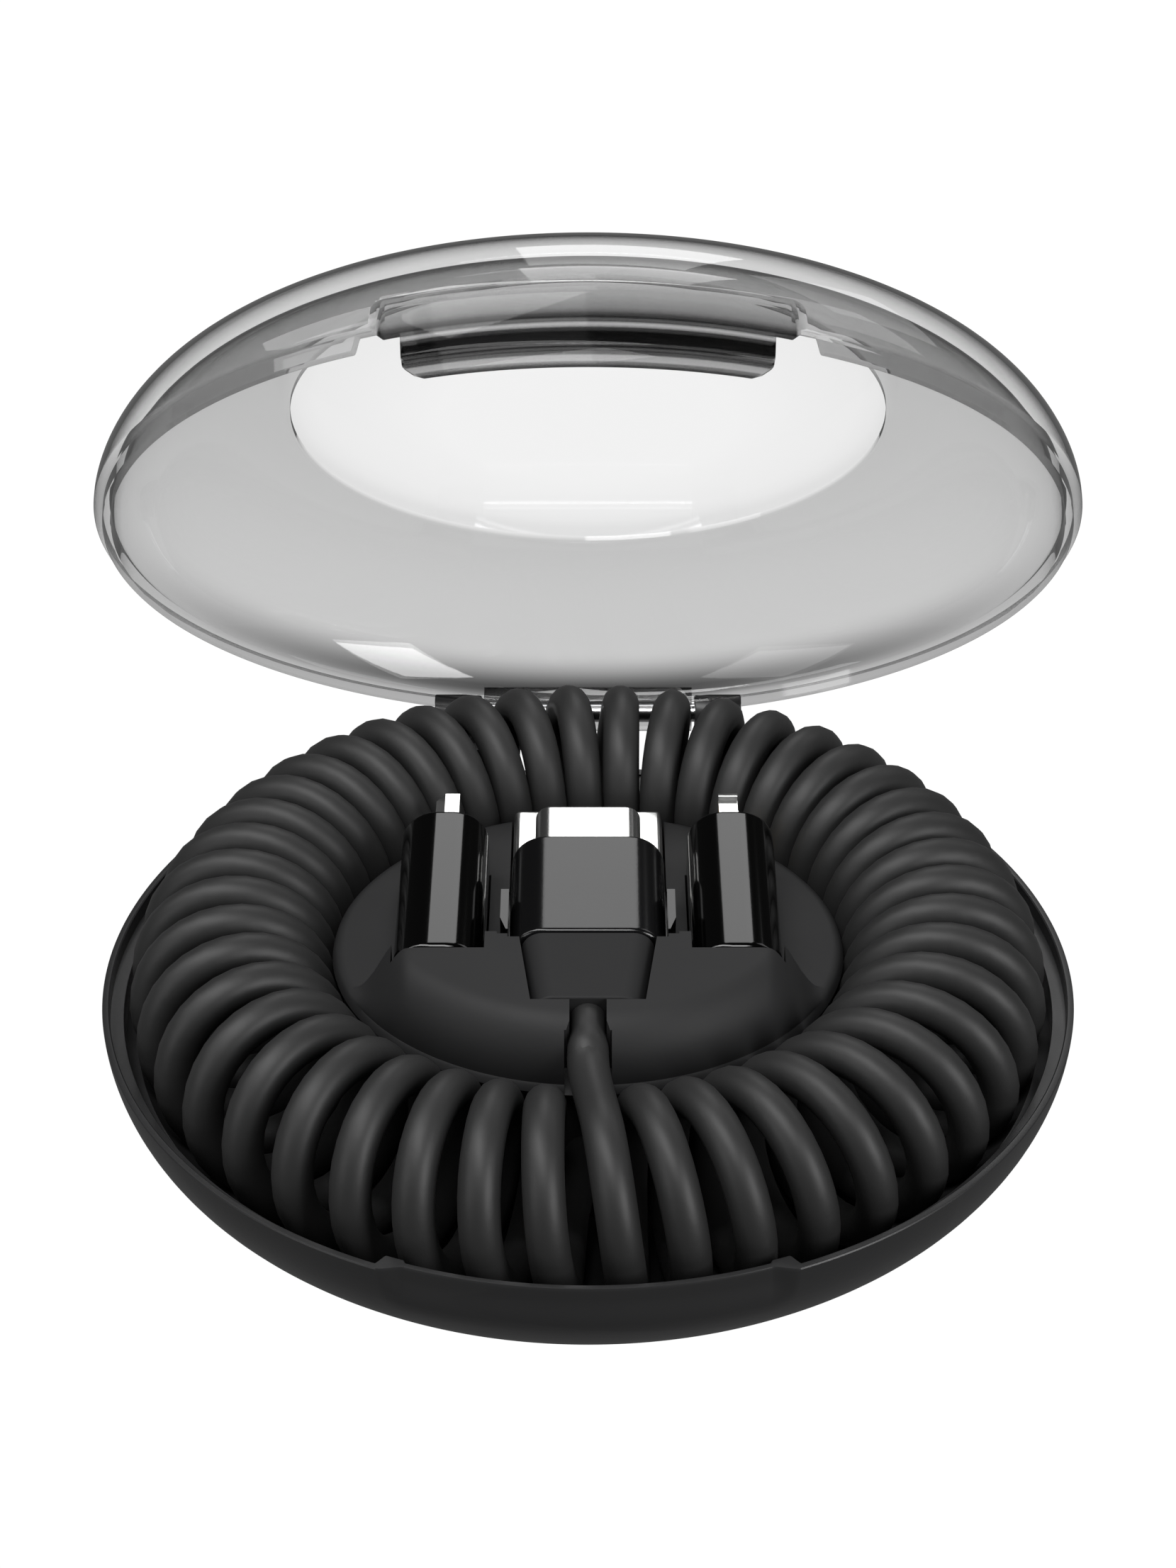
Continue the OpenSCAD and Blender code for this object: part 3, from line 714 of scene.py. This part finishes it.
    def build(self) -> None:
        points = self.route()
        curve = bpy.data.curves.new("cord", "CURVE")
        curve.dimensions = "3D"
        curve.bevel_depth = self.diameter / 2 * MM
        curve.bevel_resolution = 6
        curve.use_fill_caps = True
        line = curve.splines.new("POLY")
        line.points.add(len(points) - 1)
        line.points.foreach_set("co", np.concatenate([points, np.ones((len(points), 1))], axis=1).ravel())
        line.use_smooth = True
        obj = bpy.data.objects.new("cord", curve)
        bpy.context.scene.collection.objects.link(obj)
        self.paint.put(obj, Finishes.CORD.value)
        self.paint.paint_cord_shade(obj.data.materials[0])
        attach(obj, Body.CASE.value)
        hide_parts("cord_coil", "cord_lead", "cord_tail")
        self.neck()


@dataclass
class CaseBottom(Assembly):
    """The black bottom half with its stepped rim, thumb scoop, latch pocket, window and ears."""

    foot: float = 15.5
    depth: float = 11.0
    floor: float = 8.6
    inner: float = 35.9
    rabbet: float = 36.94
    rabbet_depth: float = 1.27
    scoop_r: float = 36.65
    scoop_depth: float = 2.35
    pocket_r: float = 36.15
    window: float = 9.3
    window_depth: float = 4.7
    ear_w: float = 4.0

    def stations(self, psi: np.ndarray) -> tuple[np.ndarray, np.ndarray]:
        """Profile points at each azimuth, from the foot up the outside, over the rim and down the inside.

        Both walls are soft domes. Soft steps along the azimuth bring in the scoop, the latch's pocket and
        the window behind the hinge.

        Args:
            psi: azimuths from the front.

        Returns:
            Radius and height of the points, heights from the rim plane.
        """
        x = CASE_R * np.abs(np.sin(psi))
        front = np.cos(psi) > 0
        latch = np.where(front, 1 - smooth(x, 14.6, 15.0), 0.0)
        pocket = np.where(front, 1 - smooth(x, 13.1, 13.4), 0.0)
        scoop = np.where(front, 1 - smooth(x, 13.0, 14.8), 0.0)
        opening = np.where(front, 0.0, 1 - smooth(x, self.window - 0.05, self.window + 0.1))
        top = -self.window_depth * opening

        def outer(z: np.ndarray) -> np.ndarray:
            """Outside radius at height z, pulled in to the scoop at the front."""
            full = dome_radius(z, self.foot, CASE_R, self.depth, *BOWL_CURVE)
            return full - (full - self.scoop_r) * scoop * (1 - smooth(-z, 1.0, self.scoop_depth * 2))

        levels = -self.depth * dome_levels(np.concatenate([[90], np.linspace(86, 2, 30)]), BOWL_CURVE[1])
        levels = np.unique(np.concatenate([levels, np.arange(-3.2, -1.0, 0.12), [-0.6, -0.3, -0.12]]))
        rows = [(0.02, -self.depth), (0.5 * self.foot, -self.depth)]
        rows += [(outer(z), z) for z in (np.minimum(level, top) for level in levels)]
        wall = self.pocket_r * pocket + self.inner * (1 - pocket)
        step_r = self.rabbet * (1 - latch) + wall * latch
        step_z = np.minimum(-self.rabbet_depth * (1 - latch), top)
        rows += [(outer(top) - 0.06, np.minimum(-0.02, top)), (outer(top) - 0.14, top), (step_r + 0.1, top),
                 (step_r, top - 0.08), (step_r, np.minimum(step_z + 0.02, top - 0.08)),
                 (wall + 0.05, np.minimum(step_z, top - 0.09)), (wall, np.minimum(step_z - 0.06, top - 0.1))]
        rows += [(wall, np.minimum(z, top - 0.12)) for z in (-2.0, -2.8, -3.55)]
        for z in -self.floor * dome_levels(np.linspace(24, 90, 18), BOWL_CURVE[1]):
            height = np.minimum(z, top - 0.14)
            rows.append((dome_radius(height, self.foot, self.inner, self.floor, *BOWL_CURVE), height))
        rows.append((0.02, -self.floor))
        return profile(rows, len(psi))

    def ear(self, name: str, x0: float) -> Object:
        """One hinge ear: a barrel and its web down to the wall, drawn in a little at both ends.

        Args:
            name: object name.
            x0: X of its left end.

        Returns:
            The new object.
        """
        x1 = x0 + self.ear_w
        web = np.array([(36.0, -0.3), (35.2, -2.5), (34.4, -4.6), (35.2, -4.7), (36.6, -4.2), (38.0, -2.9)])
        shape = np.concatenate([barrel(-60, 180, 30), web])
        centre = shape.mean(axis=0)
        plan = ((x0, 0.96), (x0 + 0.04, 0.985), (x0 + 0.12, 1.0), (x1 - 0.12, 1.0), (x1 - 0.04, 0.985), (x1, 0.96))
        rings = [along_x(centre + (shape - centre) * size, x) for x, size in plan]
        return loft(name, np.array(rings) + np.array([0, 0, RIM_Z]))

    def build(self) -> None:
        """Makes the shell and its two ears."""
        psi = azimuths([side_angle(x, CASE_R) for x in (13.2, 14.8, 15.2)] + [180 - side_angle(self.window, CASE_R)])
        radius, height = self.stations(psi)
        shell = loft("case_shell", spin(psi, radius, height + RIM_Z))
        ears = [self.ear("hinge_ear_left", -self.window - self.ear_w), self.ear("hinge_ear_right", self.window)]
        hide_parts("case_bottom")
        for obj in [shell] + ears:
            self.paint.put(obj, Finishes.CASE.value)
            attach(obj, Body.CASE.value)


@dataclass
class Lid(Assembly):
    """The clear lid with its lip, thumb recess, latch tongue and hinge lug."""

    base: float = 0.56
    top: float = 11.26
    roof: float = 9.81
    flat: float = 8.1
    wall_r: float = 36.35
    lip_out: float = 36.8
    lip_in: float = 36.15
    lip_low: float = -1.05
    tongue_out: float = 35.9
    tongue_in: float = 35.35
    tongue_half: float = 12.7
    tongue_low: float = -3.3
    recess_half: float = 14.1
    recess_h: float = 2.1
    disc_r: float = 23.0
    disc_step: float = 0.15
    lug_half: float = 9.0

    def stations(self, psi: np.ndarray) -> tuple[np.ndarray, np.ndarray]:
        """Profile points of the shut lid at each azimuth, from the top down the outside and up the inside.

        Both walls are soft domes. Soft steps along the azimuth bring in the thumb recess, the tongue with its
        bead and the lip, and inside a plain step sets off the flat disc.

        Args:
            psi: azimuths from the front.

        Returns:
            Radius and height of the points, heights from the rim plane.
        """
        front = np.cos(psi) > 0
        x = self.tongue_out * np.abs(np.sin(psi))
        edge, corner = 0.1, 0.9
        side = np.clip((x - self.recess_half + corner) / corner, 0.0, 1.0)
        curve = self.recess_h - corner * (1 - np.sqrt(np.maximum(1 - side * side, 0.0)))
        recess = np.where(front, 1 - smooth(x, self.recess_half - 0.12, self.recess_half + 0.02), 0.0)
        tongue = np.where(front, 1 - smooth(x, self.tongue_half - 0.25, self.tongue_half), 0.0)
        lip = np.where(front, smooth(x, 15.2, 15.6), smooth(x, 10.2, 10.6))
        high = edge + (np.maximum(curve, edge) - edge) * recess
        wall = self.lip_out + (self.tongue_out - self.lip_out) * recess
        slope = np.where(front, np.clip((x - self.tongue_half + 1.25) / 1.25, 0, 1), 0.0)
        tip = self.tongue_low + 1.1 * slope
        low = edge + (self.lip_low - edge) * lip + (tip - edge) * tongue
        inside = self.lip_in + (self.tongue_in - self.lip_in) * recess
        bulge = edge + 0.15 + (self.recess_h + 0.5 - edge) * recess

        def outer(z: np.ndarray) -> np.ndarray:
            """Outside radius at height z."""
            return dome_radius(np.maximum(z - self.base, 0.0), self.flat, CASE_R, self.top - self.base, *LID_CURVE)

        levels = dome_levels(np.concatenate([[90.0], np.linspace(86, 3, 34)]), LID_CURVE[1])
        rows = [(0.02, self.top), (0.5 * self.flat, self.top)]
        for z in np.concatenate([self.base + (self.top - self.base) * levels, [0.4, 0.24]]):
            height = np.maximum(z, high + 0.06)
            rows.append((outer(height), height))
        rows += [(outer(high + 0.02) - 0.02, high + 0.02), (outer(high) - 0.08, high), (wall + 0.08, high),
                 (wall, np.maximum(high - 0.08, low + 0.06))]
        for z, bead in ((-1.2, 0.0), (-1.3, 0.05), (-1.5, 0.12), (-1.85, 0.12), (-2.05, 0.05), (-2.15, 0.0)):
            rows.append((wall + bead * tongue, np.maximum(np.minimum(z, high - 0.08), low + 0.06)))
        rows += [(wall, low + 0.06), (wall - 0.06, low), (inside + 0.06, low), (inside, low + 0.06),
                 (inside, np.maximum(bulge - 0.08, low + 0.08)), (inside + 0.05, bulge)]
        inner_h = self.roof - self.base
        for z in self.base + inner_h * dome_levels(np.linspace(1, 89, 34), LID_CURVE[1]):
            height = np.maximum(z, bulge + 0.05)
            r = dome_radius(height - self.base, self.flat, self.wall_r, inner_h, *LID_CURVE)
            if r.min() > self.disc_r + 0.15:
                rows.append((r, height))
        rim = self.disc_r + 0.04
        border = self.base + inner_h * np.power(
            1 - np.power((rim - self.flat) / (self.wall_r - self.flat), LID_CURVE[0]), 1 / LID_CURVE[1])
        ceiling = self.roof + self.disc_step
        rows += [(rim, border), (self.disc_r, border + 0.03), (self.disc_r, ceiling), (0.5 * self.disc_r, ceiling),
                 (0.02, ceiling)]
        return profile(rows, len(psi))

    def lug(self) -> Object:
        """The hinge lug: a barrel and a web up to the lid's wall.

        Returns:
            The new object, turned open with the lid.
        """
        shape = np.concatenate([barrel(-178, 90, 40), [(36.6, 1.6), (36.5, 0.3)]])
        rings = [along_x(shape, x) for x in (-self.lug_half, self.lug_half)]
        return loft("lid_lug", tilt(np.array(rings))[::-1])

    def mark(self, mesh: Mesh) -> None:
        """Notes on each vertex, as the clear material reads them.

        They are whether it is on the disc or the latch, how high up the latch it lies, how much painted shade
        darkens the back of the dome low down and how strong its gloss is. The point is turned back to the shut
        lid, and its radius and height there decide.

        Args:
            mesh: the lid's mesh in the open pose, in metres.
        """
        count = len(mesh.vertices)
        flat = np.empty(count * 3, dtype=np.float32)
        mesh.vertices.foreach_get("co", flat)
        x, y, z = (flat.reshape(-1, 3).astype(float) / MM).T
        turn = math.radians(LID_OPEN)
        back = HINGE_Y + (y - HINGE_Y) * math.cos(turn) - (z - RIM_Z) * math.sin(turn)
        height = (y - HINGE_Y) * math.sin(turn) + (z - RIM_Z) * math.cos(turn)
        radius = np.hypot(x, back)
        near = dome_radius(np.clip(height - self.base, 0, None), self.flat, CASE_R, self.top - self.base, *LID_CURVE)
        outside = (height > self.roof + self.disc_step + 0.3) | (np.abs(radius - near) < 0.35)
        disc = np.where(outside, 0.78, (radius < self.disc_r + 0.02) & (height > self.roof))
        round_back = np.clip(back / np.maximum(radius, 1.0), 0.0, 1.0)
        # Painted shade: darkens the tint low on the back of the dome
        shade = 1.0 - 0.93 * np.power(round_back, 1.5) * smooth(height, -0.2, 1.2) * (1.0 - smooth(height, 1.2, 4.4))
        front = (back < 0) & (np.abs(x) < self.recess_half + 0.2) & (height < self.recess_h + 0.7) & (radius < 36.1)
        gloss = 1.0 - np.maximum(0.75 * front, 0.97 - 0.97 * smooth(radius, self.disc_r - 1.0, self.disc_r + 0.5))
        span = self.recess_h - self.tongue_low
        for name, values in (("disc", disc), ("latch", front), ("rise", (height - self.tongue_low) / span),
                             ("shade", shade), ("gloss", gloss)):
            layer = mesh.attributes.new(name, "FLOAT", "POINT")
            layer.data.foreach_set("value", np.asarray(values, dtype=np.float32))

    def build(self) -> None:
        """Makes the lid and joins its lug to it."""
        marks = [side_angle(x, self.tongue_out) for x in (12.6, 13.9, 15.4)]
        psi = azimuths(marks + [180 - side_angle(10.4, self.tongue_out)])
        radius, height = self.stations(psi)
        shell = loft("lid_clear", tilt(spin(psi, radius, height))[::-1])
        carve(shell, [self.lug()], "UNION")
        self.mark(shell.data)
        self.paint.put(shell, ClearFinish())
        shell.visible_shadow = False
        shell.visible_glossy = False
        shell.visible_diffuse = False
        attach(shell, Body.LID.value)
        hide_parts("lid")


# Pockets of the hub: name and (y, x0, x1, z0) at both ends, heights from the rim plane; all are open at the top
POCKETS = (
    ("cut_left", ((-9.0, -14.7, -7.7, -1.3), (9.6, -14.7, -7.7, -1.3))),
    ("cut_right", ((-9.0, 7.7, 14.7, -1.3), (9.6, 7.7, 14.7, -1.3))),
    ("cut_plug", ((-7.6, -6.0, 6.0, 3.7), (12.0, -6.0, 6.0, 3.7))),
    ("cut_relief", ((-15.4, -4.2, 4.2, 4.0), (-7.4, -5.15, 5.15, 3.9))),
    ("cut_wide", ((-7.2, -6.8, 6.8, -1.6), (6.4, -6.8, 6.8, -1.6))),
    ("cut_shell", ((6.3, -6.2, 6.2, -1.4), (22.0, -6.2, 6.2, -1.4))),
    ("cut_neck", ((-17.9, -1.35, 1.35, 5.5), (-15.2, -1.35, 1.35, 5.9))),
    ("cut_lead", ((-23.0, -1.72, 1.72, 1.0), (-18.0, -1.72, 1.72, 4.7))),
    ("cut_step", ((-18.1, -1.62, 1.62, 4.8), (-17.5, -1.36, 1.36, 5.4))),
    ("cut_micro", ((9.5, -12.4, -10.0, 0.3), (19.0, -12.4, -10.0, 0.3))),
    ("cut_slim", ((9.5, 10.2, 12.2, 0.4), (19.0, 10.2, 12.2, 0.4))),
)
POCKET_TOP = 14.0


def prism(name: str, stations: tuple[tuple[float, float, float, float], ...]) -> Object:
    """Four-sided body along Y through (y, x0, x1, z0) stations, up to the pockets' top.

    Args:
        name: object name.
        stations: the sections in order of rising y.

    Returns:
        The new object.
    """
    rings = [[(x1, y, POCKET_TOP), (x0, y, POCKET_TOP), (x0, y, z0), (x1, y, z0)] for y, x0, x1, z0 in stations]
    return loft(name, np.array(rings) + np.array([0, 0, RIM_Z]))


@dataclass
class Hub(Assembly):
    """The soft black hub: a tray with a raised front block that flows into it, and pockets for the plugs."""

    drum_r: float = 19.0
    tray_r: float = 19.7
    tray_z: float = 3.294
    tray_fall: float = 0.0593
    edge: float = 0.9
    block_z: float = 9.0
    shoulder_r: float = 16.3
    shoulder: float = 3.1
    block_back: float = 6.7
    ends: tuple[float, float] = (13.2, 17.9)
    floor_z: float = -8.6
    back_cos: float = 0.425
    back_r: float = 15.6

    def surface(self, psi: np.ndarray, radius: np.ndarray) -> np.ndarray:
        """Height of the hub's top at an azimuth and radius.

        The tilted tray with its rounded edge, raised to the block's height by the product of a round
        shoulder along the radius, a soft ramp at both ends and a steep step at the block's back.

        Args:
            psi: azimuths from the front.
            radius: distance from the axis, one row of the loft.

        Returns:
            Heights above the rim plane.
        """
        across = np.abs(radius * np.sin(psi))
        ahead = radius * np.cos(psi)
        over = np.maximum(radius - (self.tray_r - self.edge), 0.0)
        base = (self.tray_z + self.tray_fall * ahead - self.edge
                + np.sqrt(np.maximum(self.edge ** 2 - np.square(over), 0.0)))
        t = np.clip((radius - self.shoulder_r) / self.shoulder, 0.0, 1.0)
        rise = (np.sqrt(1.0 - t * t) * (1.0 - smooth(across, *self.ends))
                * smooth(ahead, self.block_back - 0.12, self.block_back + 0.22))
        return base + (self.block_z - base) * rise

    def stations(self, psi: np.ndarray) -> tuple[np.ndarray, np.ndarray]:
        """Profile points at each azimuth, from the floor up the drum and in over the top to the middle.

        The rings crowd along the block's back, a straight line, as far round as the azimuth's cosine
        stays over back_cos.

        Args:
            psi: azimuths from the front.

        Returns:
            Radius and height of the points, heights from the rim plane.
        """
        one = np.ones(len(psi))
        low = self.tray_z + self.tray_fall * self.tray_r * np.cos(psi) - self.edge
        rows = [(0.02, self.floor_z), (self.drum_r - 0.4, self.floor_z), (self.drum_r, self.floor_z + 0.4),
                (self.drum_r, low - 1.0), (self.tray_r - 0.15, low - 0.5), (self.tray_r, low)]
        shoulder = self.shoulder_r + self.shoulder * np.sin(np.radians(np.linspace(90, 0, 22)))
        radii = [radius * one for radius in ((self.tray_r + self.shoulder_r + self.shoulder) / 2, *shoulder)]
        behind = np.cos(psi) > self.back_cos
        scale = 1.0 / np.maximum(np.cos(psi), self.back_cos)
        step = np.where(behind, self.block_back / np.maximum(np.cos(psi), self.back_cos), self.back_r)
        radii += [step + 0.5 + (self.shoulder_r - step - 0.5) * part for part in (0.75, 0.5, 0.25)]
        radii += [step + shift * np.where(behind, scale, 1.0)
                  for shift in (0.5, 0.22, 0.16, 0.1, 0.05, 0.0, -0.05, -0.12, -0.3)]
        radii += [(step - 0.3) * part for part in (0.8, 0.6, 0.4, 0.2, 0.05, 0.003)]
        return profile(rows + [(radius, self.surface(psi, radius)) for radius in radii], len(psi))

    def build(self) -> None:
        """Makes the hub and cuts its pockets."""
        psi = azimuths([62.0, 66.0, 69.0, 72.0], coarse=360, reach=2.0, fine=0.25)
        radius, height = self.stations(psi)
        body = loft("hub_body", spin(psi, radius, height + RIM_Z))
        carve(body, [prism(name, stations) for name, stations in POCKETS], "DIFFERENCE")
        self.paint.put(body, Finishes.SATIN.value)
        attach(body, Body.CASE.value)
        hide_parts("hub")


@dataclass
class Plugs(Assembly):
    """The plugs and adapters that lie in the hub."""

    upper_z: float = 6.65
    lower_z: float = 1.1
    side_x: float = 11.2
    side_z: float = 3.9

    def place(self, obj: Object, finish: Finishes, *nodes: str) -> None:
        """Finishes a piece, lets it ride and hides the nodes it stands for.

        Args:
            obj: the piece.
            finish: its finish.
            nodes: the nodes it stands for.
        """
        self.paint.put(obj, finish.value)
        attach(obj, Body.CASE.value)
        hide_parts(*nodes)

    def build(self) -> None:
        """Makes the bodies, shells and reliefs, and finishes the small pieces that the CAD holds."""
        upper = RIM_Z + self.upper_z
        lower = RIM_Z + self.lower_z
        self.place(soft_bar("upper_plug_body", 11.8, 5.7, 2.65, -7.5, 5.25, 0.35, (0, upper)), Finishes.PLUG,
                   "type_c_body")
        self.place(soft_bar("upper_plug_relief", 10.0, 5.2, 1.6, -15.3, -7.5, 0.2, (0, upper + 0.1), (0.82, 0.9)),
                   Finishes.RELIEF, "type_c_relief")
        self.place(sleeve("upper_plug_shell", 8.3, 2.4, 1.19, 5.25, 11.8, 0.3, (0, upper)), Finishes.METAL,
                   "type_c_shell")
        self.place(sleeve("lower_plug_shell", 12.0, 4.5, 0.5, 6.3, 17.9, 0.3, (0, lower)), Finishes.METAL,
                   "type_a_shell")
        for side, body in ((-1, "micro_body"), (1, "slim_body")):
            self.place(soft_bar(body.replace("body", "adapter"), 6.8, 10.3, 2.7, -8.9, 9.5, 0.5,
                                (side * self.side_x, RIM_Z + self.side_z)), Finishes.GLOSS, body)
        for finish, nodes in ((Finishes.GLOSS, ("type_a_body", "type_c_insert", "micro_insert")),
                              (Finishes.RELIEF, ("type_a_relief",)), (Finishes.PALE, ("type_a_insert",)),
                              (Finishes.GOLD, ("type_a_contacts", "slim_contacts")),
                              (Finishes.METAL, ("micro_shell", "micro_socket", "slim_socket", "slim_tab")),
                              (Finishes.STEEL, ("hinge_pin",))):
            for node in nodes:
                self.paint.put(frame["nodes"][node], finish.value)


@dataclass
class Studio:
    """Camera, floor and lights, in metres: each light is a name, a place, a size and a power in watts."""

    lens: float = 77.81
    position: tuple[float, float, float] = (0.0, -0.2130, 0.16656)
    pitch: float = 57.066
    pale: float = 1.02
    floor_glow: float = 0.15
    sky_glow: float = 0.02
    floor_half: float = 3000.0
    panels: tuple[tuple, ...] = (("back_panel", (0.035, 0.46, 0.40), (0.22, 0.30), 0.48),
                                 ("back_right_panel", (0.36, 0.38, 0.36), (0.26, 0.24), 0.20),
                                 ("top_panel", (-0.12, -0.12, 0.60), (0.64, 0.20), 3.0),
                                 ("top_left_panel", (-0.42, 0.10, 0.42), (0.22, 0.30), 0.5),
                                 ("right_panel", (0.45, -0.34, 0.26), (0.26, 0.36), 2.2),
                                 ("left_panel", (-0.50, -0.34, 0.30), (0.36, 0.36), 0.7))

    def camera(self) -> None:
        """Camera at the photograph's place and angle."""
        data = bpy.data.cameras.new("photo_camera")
        data.sensor_fit = "VERTICAL"
        data.sensor_height = 36.0
        data.lens = self.lens
        data.clip_start = 0.005
        obj = bpy.data.objects.new("photo_camera", data)
        obj.location = self.position
        obj.rotation_euler = (math.radians(self.pitch), 0.0, 0.0)
        bpy.context.scene.collection.objects.link(obj)
        bpy.context.scene.camera = obj

    def light(self, name: str, place: tuple[float, float, float], aim: tuple[float, float, float],
              size: tuple[float, float], power: float) -> None:
        """One soft area light that faces a point.

        Args:
            name: object name.
            place: centre of the light in metres.
            aim: point that it faces.
            size: its width and height in metres.
            power: its power in watts.
        """
        data = bpy.data.lights.new(name, "AREA")
        data.shape = "RECTANGLE"
        data.size, data.size_y = size
        data.energy = power
        obj = bpy.data.objects.new(name, data)
        obj.location = place
        direction = np.array(aim, float) - np.array(place, float)
        flat = math.hypot(direction[0], direction[1])
        obj.rotation_euler = (math.pi / 2 + math.atan2(direction[2], flat), 0.0,
                              math.atan2(-direction[0], direction[1]))
        obj.visible_camera = False
        obj.visible_transmission = False
        bpy.context.scene.collection.objects.link(obj)

    def seen(self, tree: NodeTree, direct: float, bounced: float) -> NodeSocket:
        """Strength for what the eye sees, also through the clear lid, and for light that has bounced.

        Args:
            tree: node tree that takes the nodes.
            direct: strength that the eye sees.
            bounced: strength that lights and mirrors in the object.

        Returns:
            The strength's socket.
        """
        path = tree.nodes.new("ShaderNodeLightPath")
        bounces = math_node(tree, "ADD", path.outputs["Diffuse Depth"], path.outputs["Glossy Depth"])
        return math_node(tree, "MULTIPLY_ADD", math_node(tree, "LESS_THAN", bounces, 0.5), direct - bounced, bounced)

    def build(self) -> None:
        """Makes the floor, the world and the lights."""
        corners = np.array([(-1, -1, 0), (1, -1, 0), (1, 1, 0), (-1, 1, 0)]) * self.floor_half
        floor = make_mesh("floor", corners, [0, 1, 2, 3], [4])
        material = bpy.data.materials.new("pale_floor")
        material.use_nodes = True
        tree = material.node_tree
        shader = shader_of(material)
        set_inputs(shader, Base_Color=(0.0, 0.0, 0.0, 1), Specular_IOR_Level=0.0, Emission_Color=(1, 1, 1, 1))
        tree.links.new(self.seen(tree, self.pale, self.floor_glow), shader.inputs["Emission Strength"])
        floor.data.materials.append(material)
        world = bpy.data.worlds.new("studio")
        bpy.context.scene.world = world
        world.use_nodes = True
        back = next(n for n in world.node_tree.nodes if n.type == "BACKGROUND")
        back.inputs["Color"].default_value = (1, 1, 1, 1)
        world.node_tree.links.new(self.seen(world.node_tree, self.pale, self.sky_glow), back.inputs["Strength"])
        for name, place, size_m, power in self.panels:
            self.light(name, place, (0, 0, 0.012), size_m, power)
        bpy.context.scene.view_settings.view_transform = "Standard"


def write_bounds() -> None:
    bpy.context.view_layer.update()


def main() -> None:
    """Builds the scene piece by piece and reports each one."""
    logging.basicConfig(level=logging.INFO)
    write_bounds()
    studio = Studio()
    studio.camera()
    paint = Paint()
    for group in (Cord(paint), CaseBottom(paint), Hub(paint), Lid(paint), Plugs(paint), studio):
        group.build()
        logging.info("built %s, %d objects so far", type(group).__name__, len(bpy.context.scene.objects))
    write_bounds()


if __name__ == "__main__":
    main()
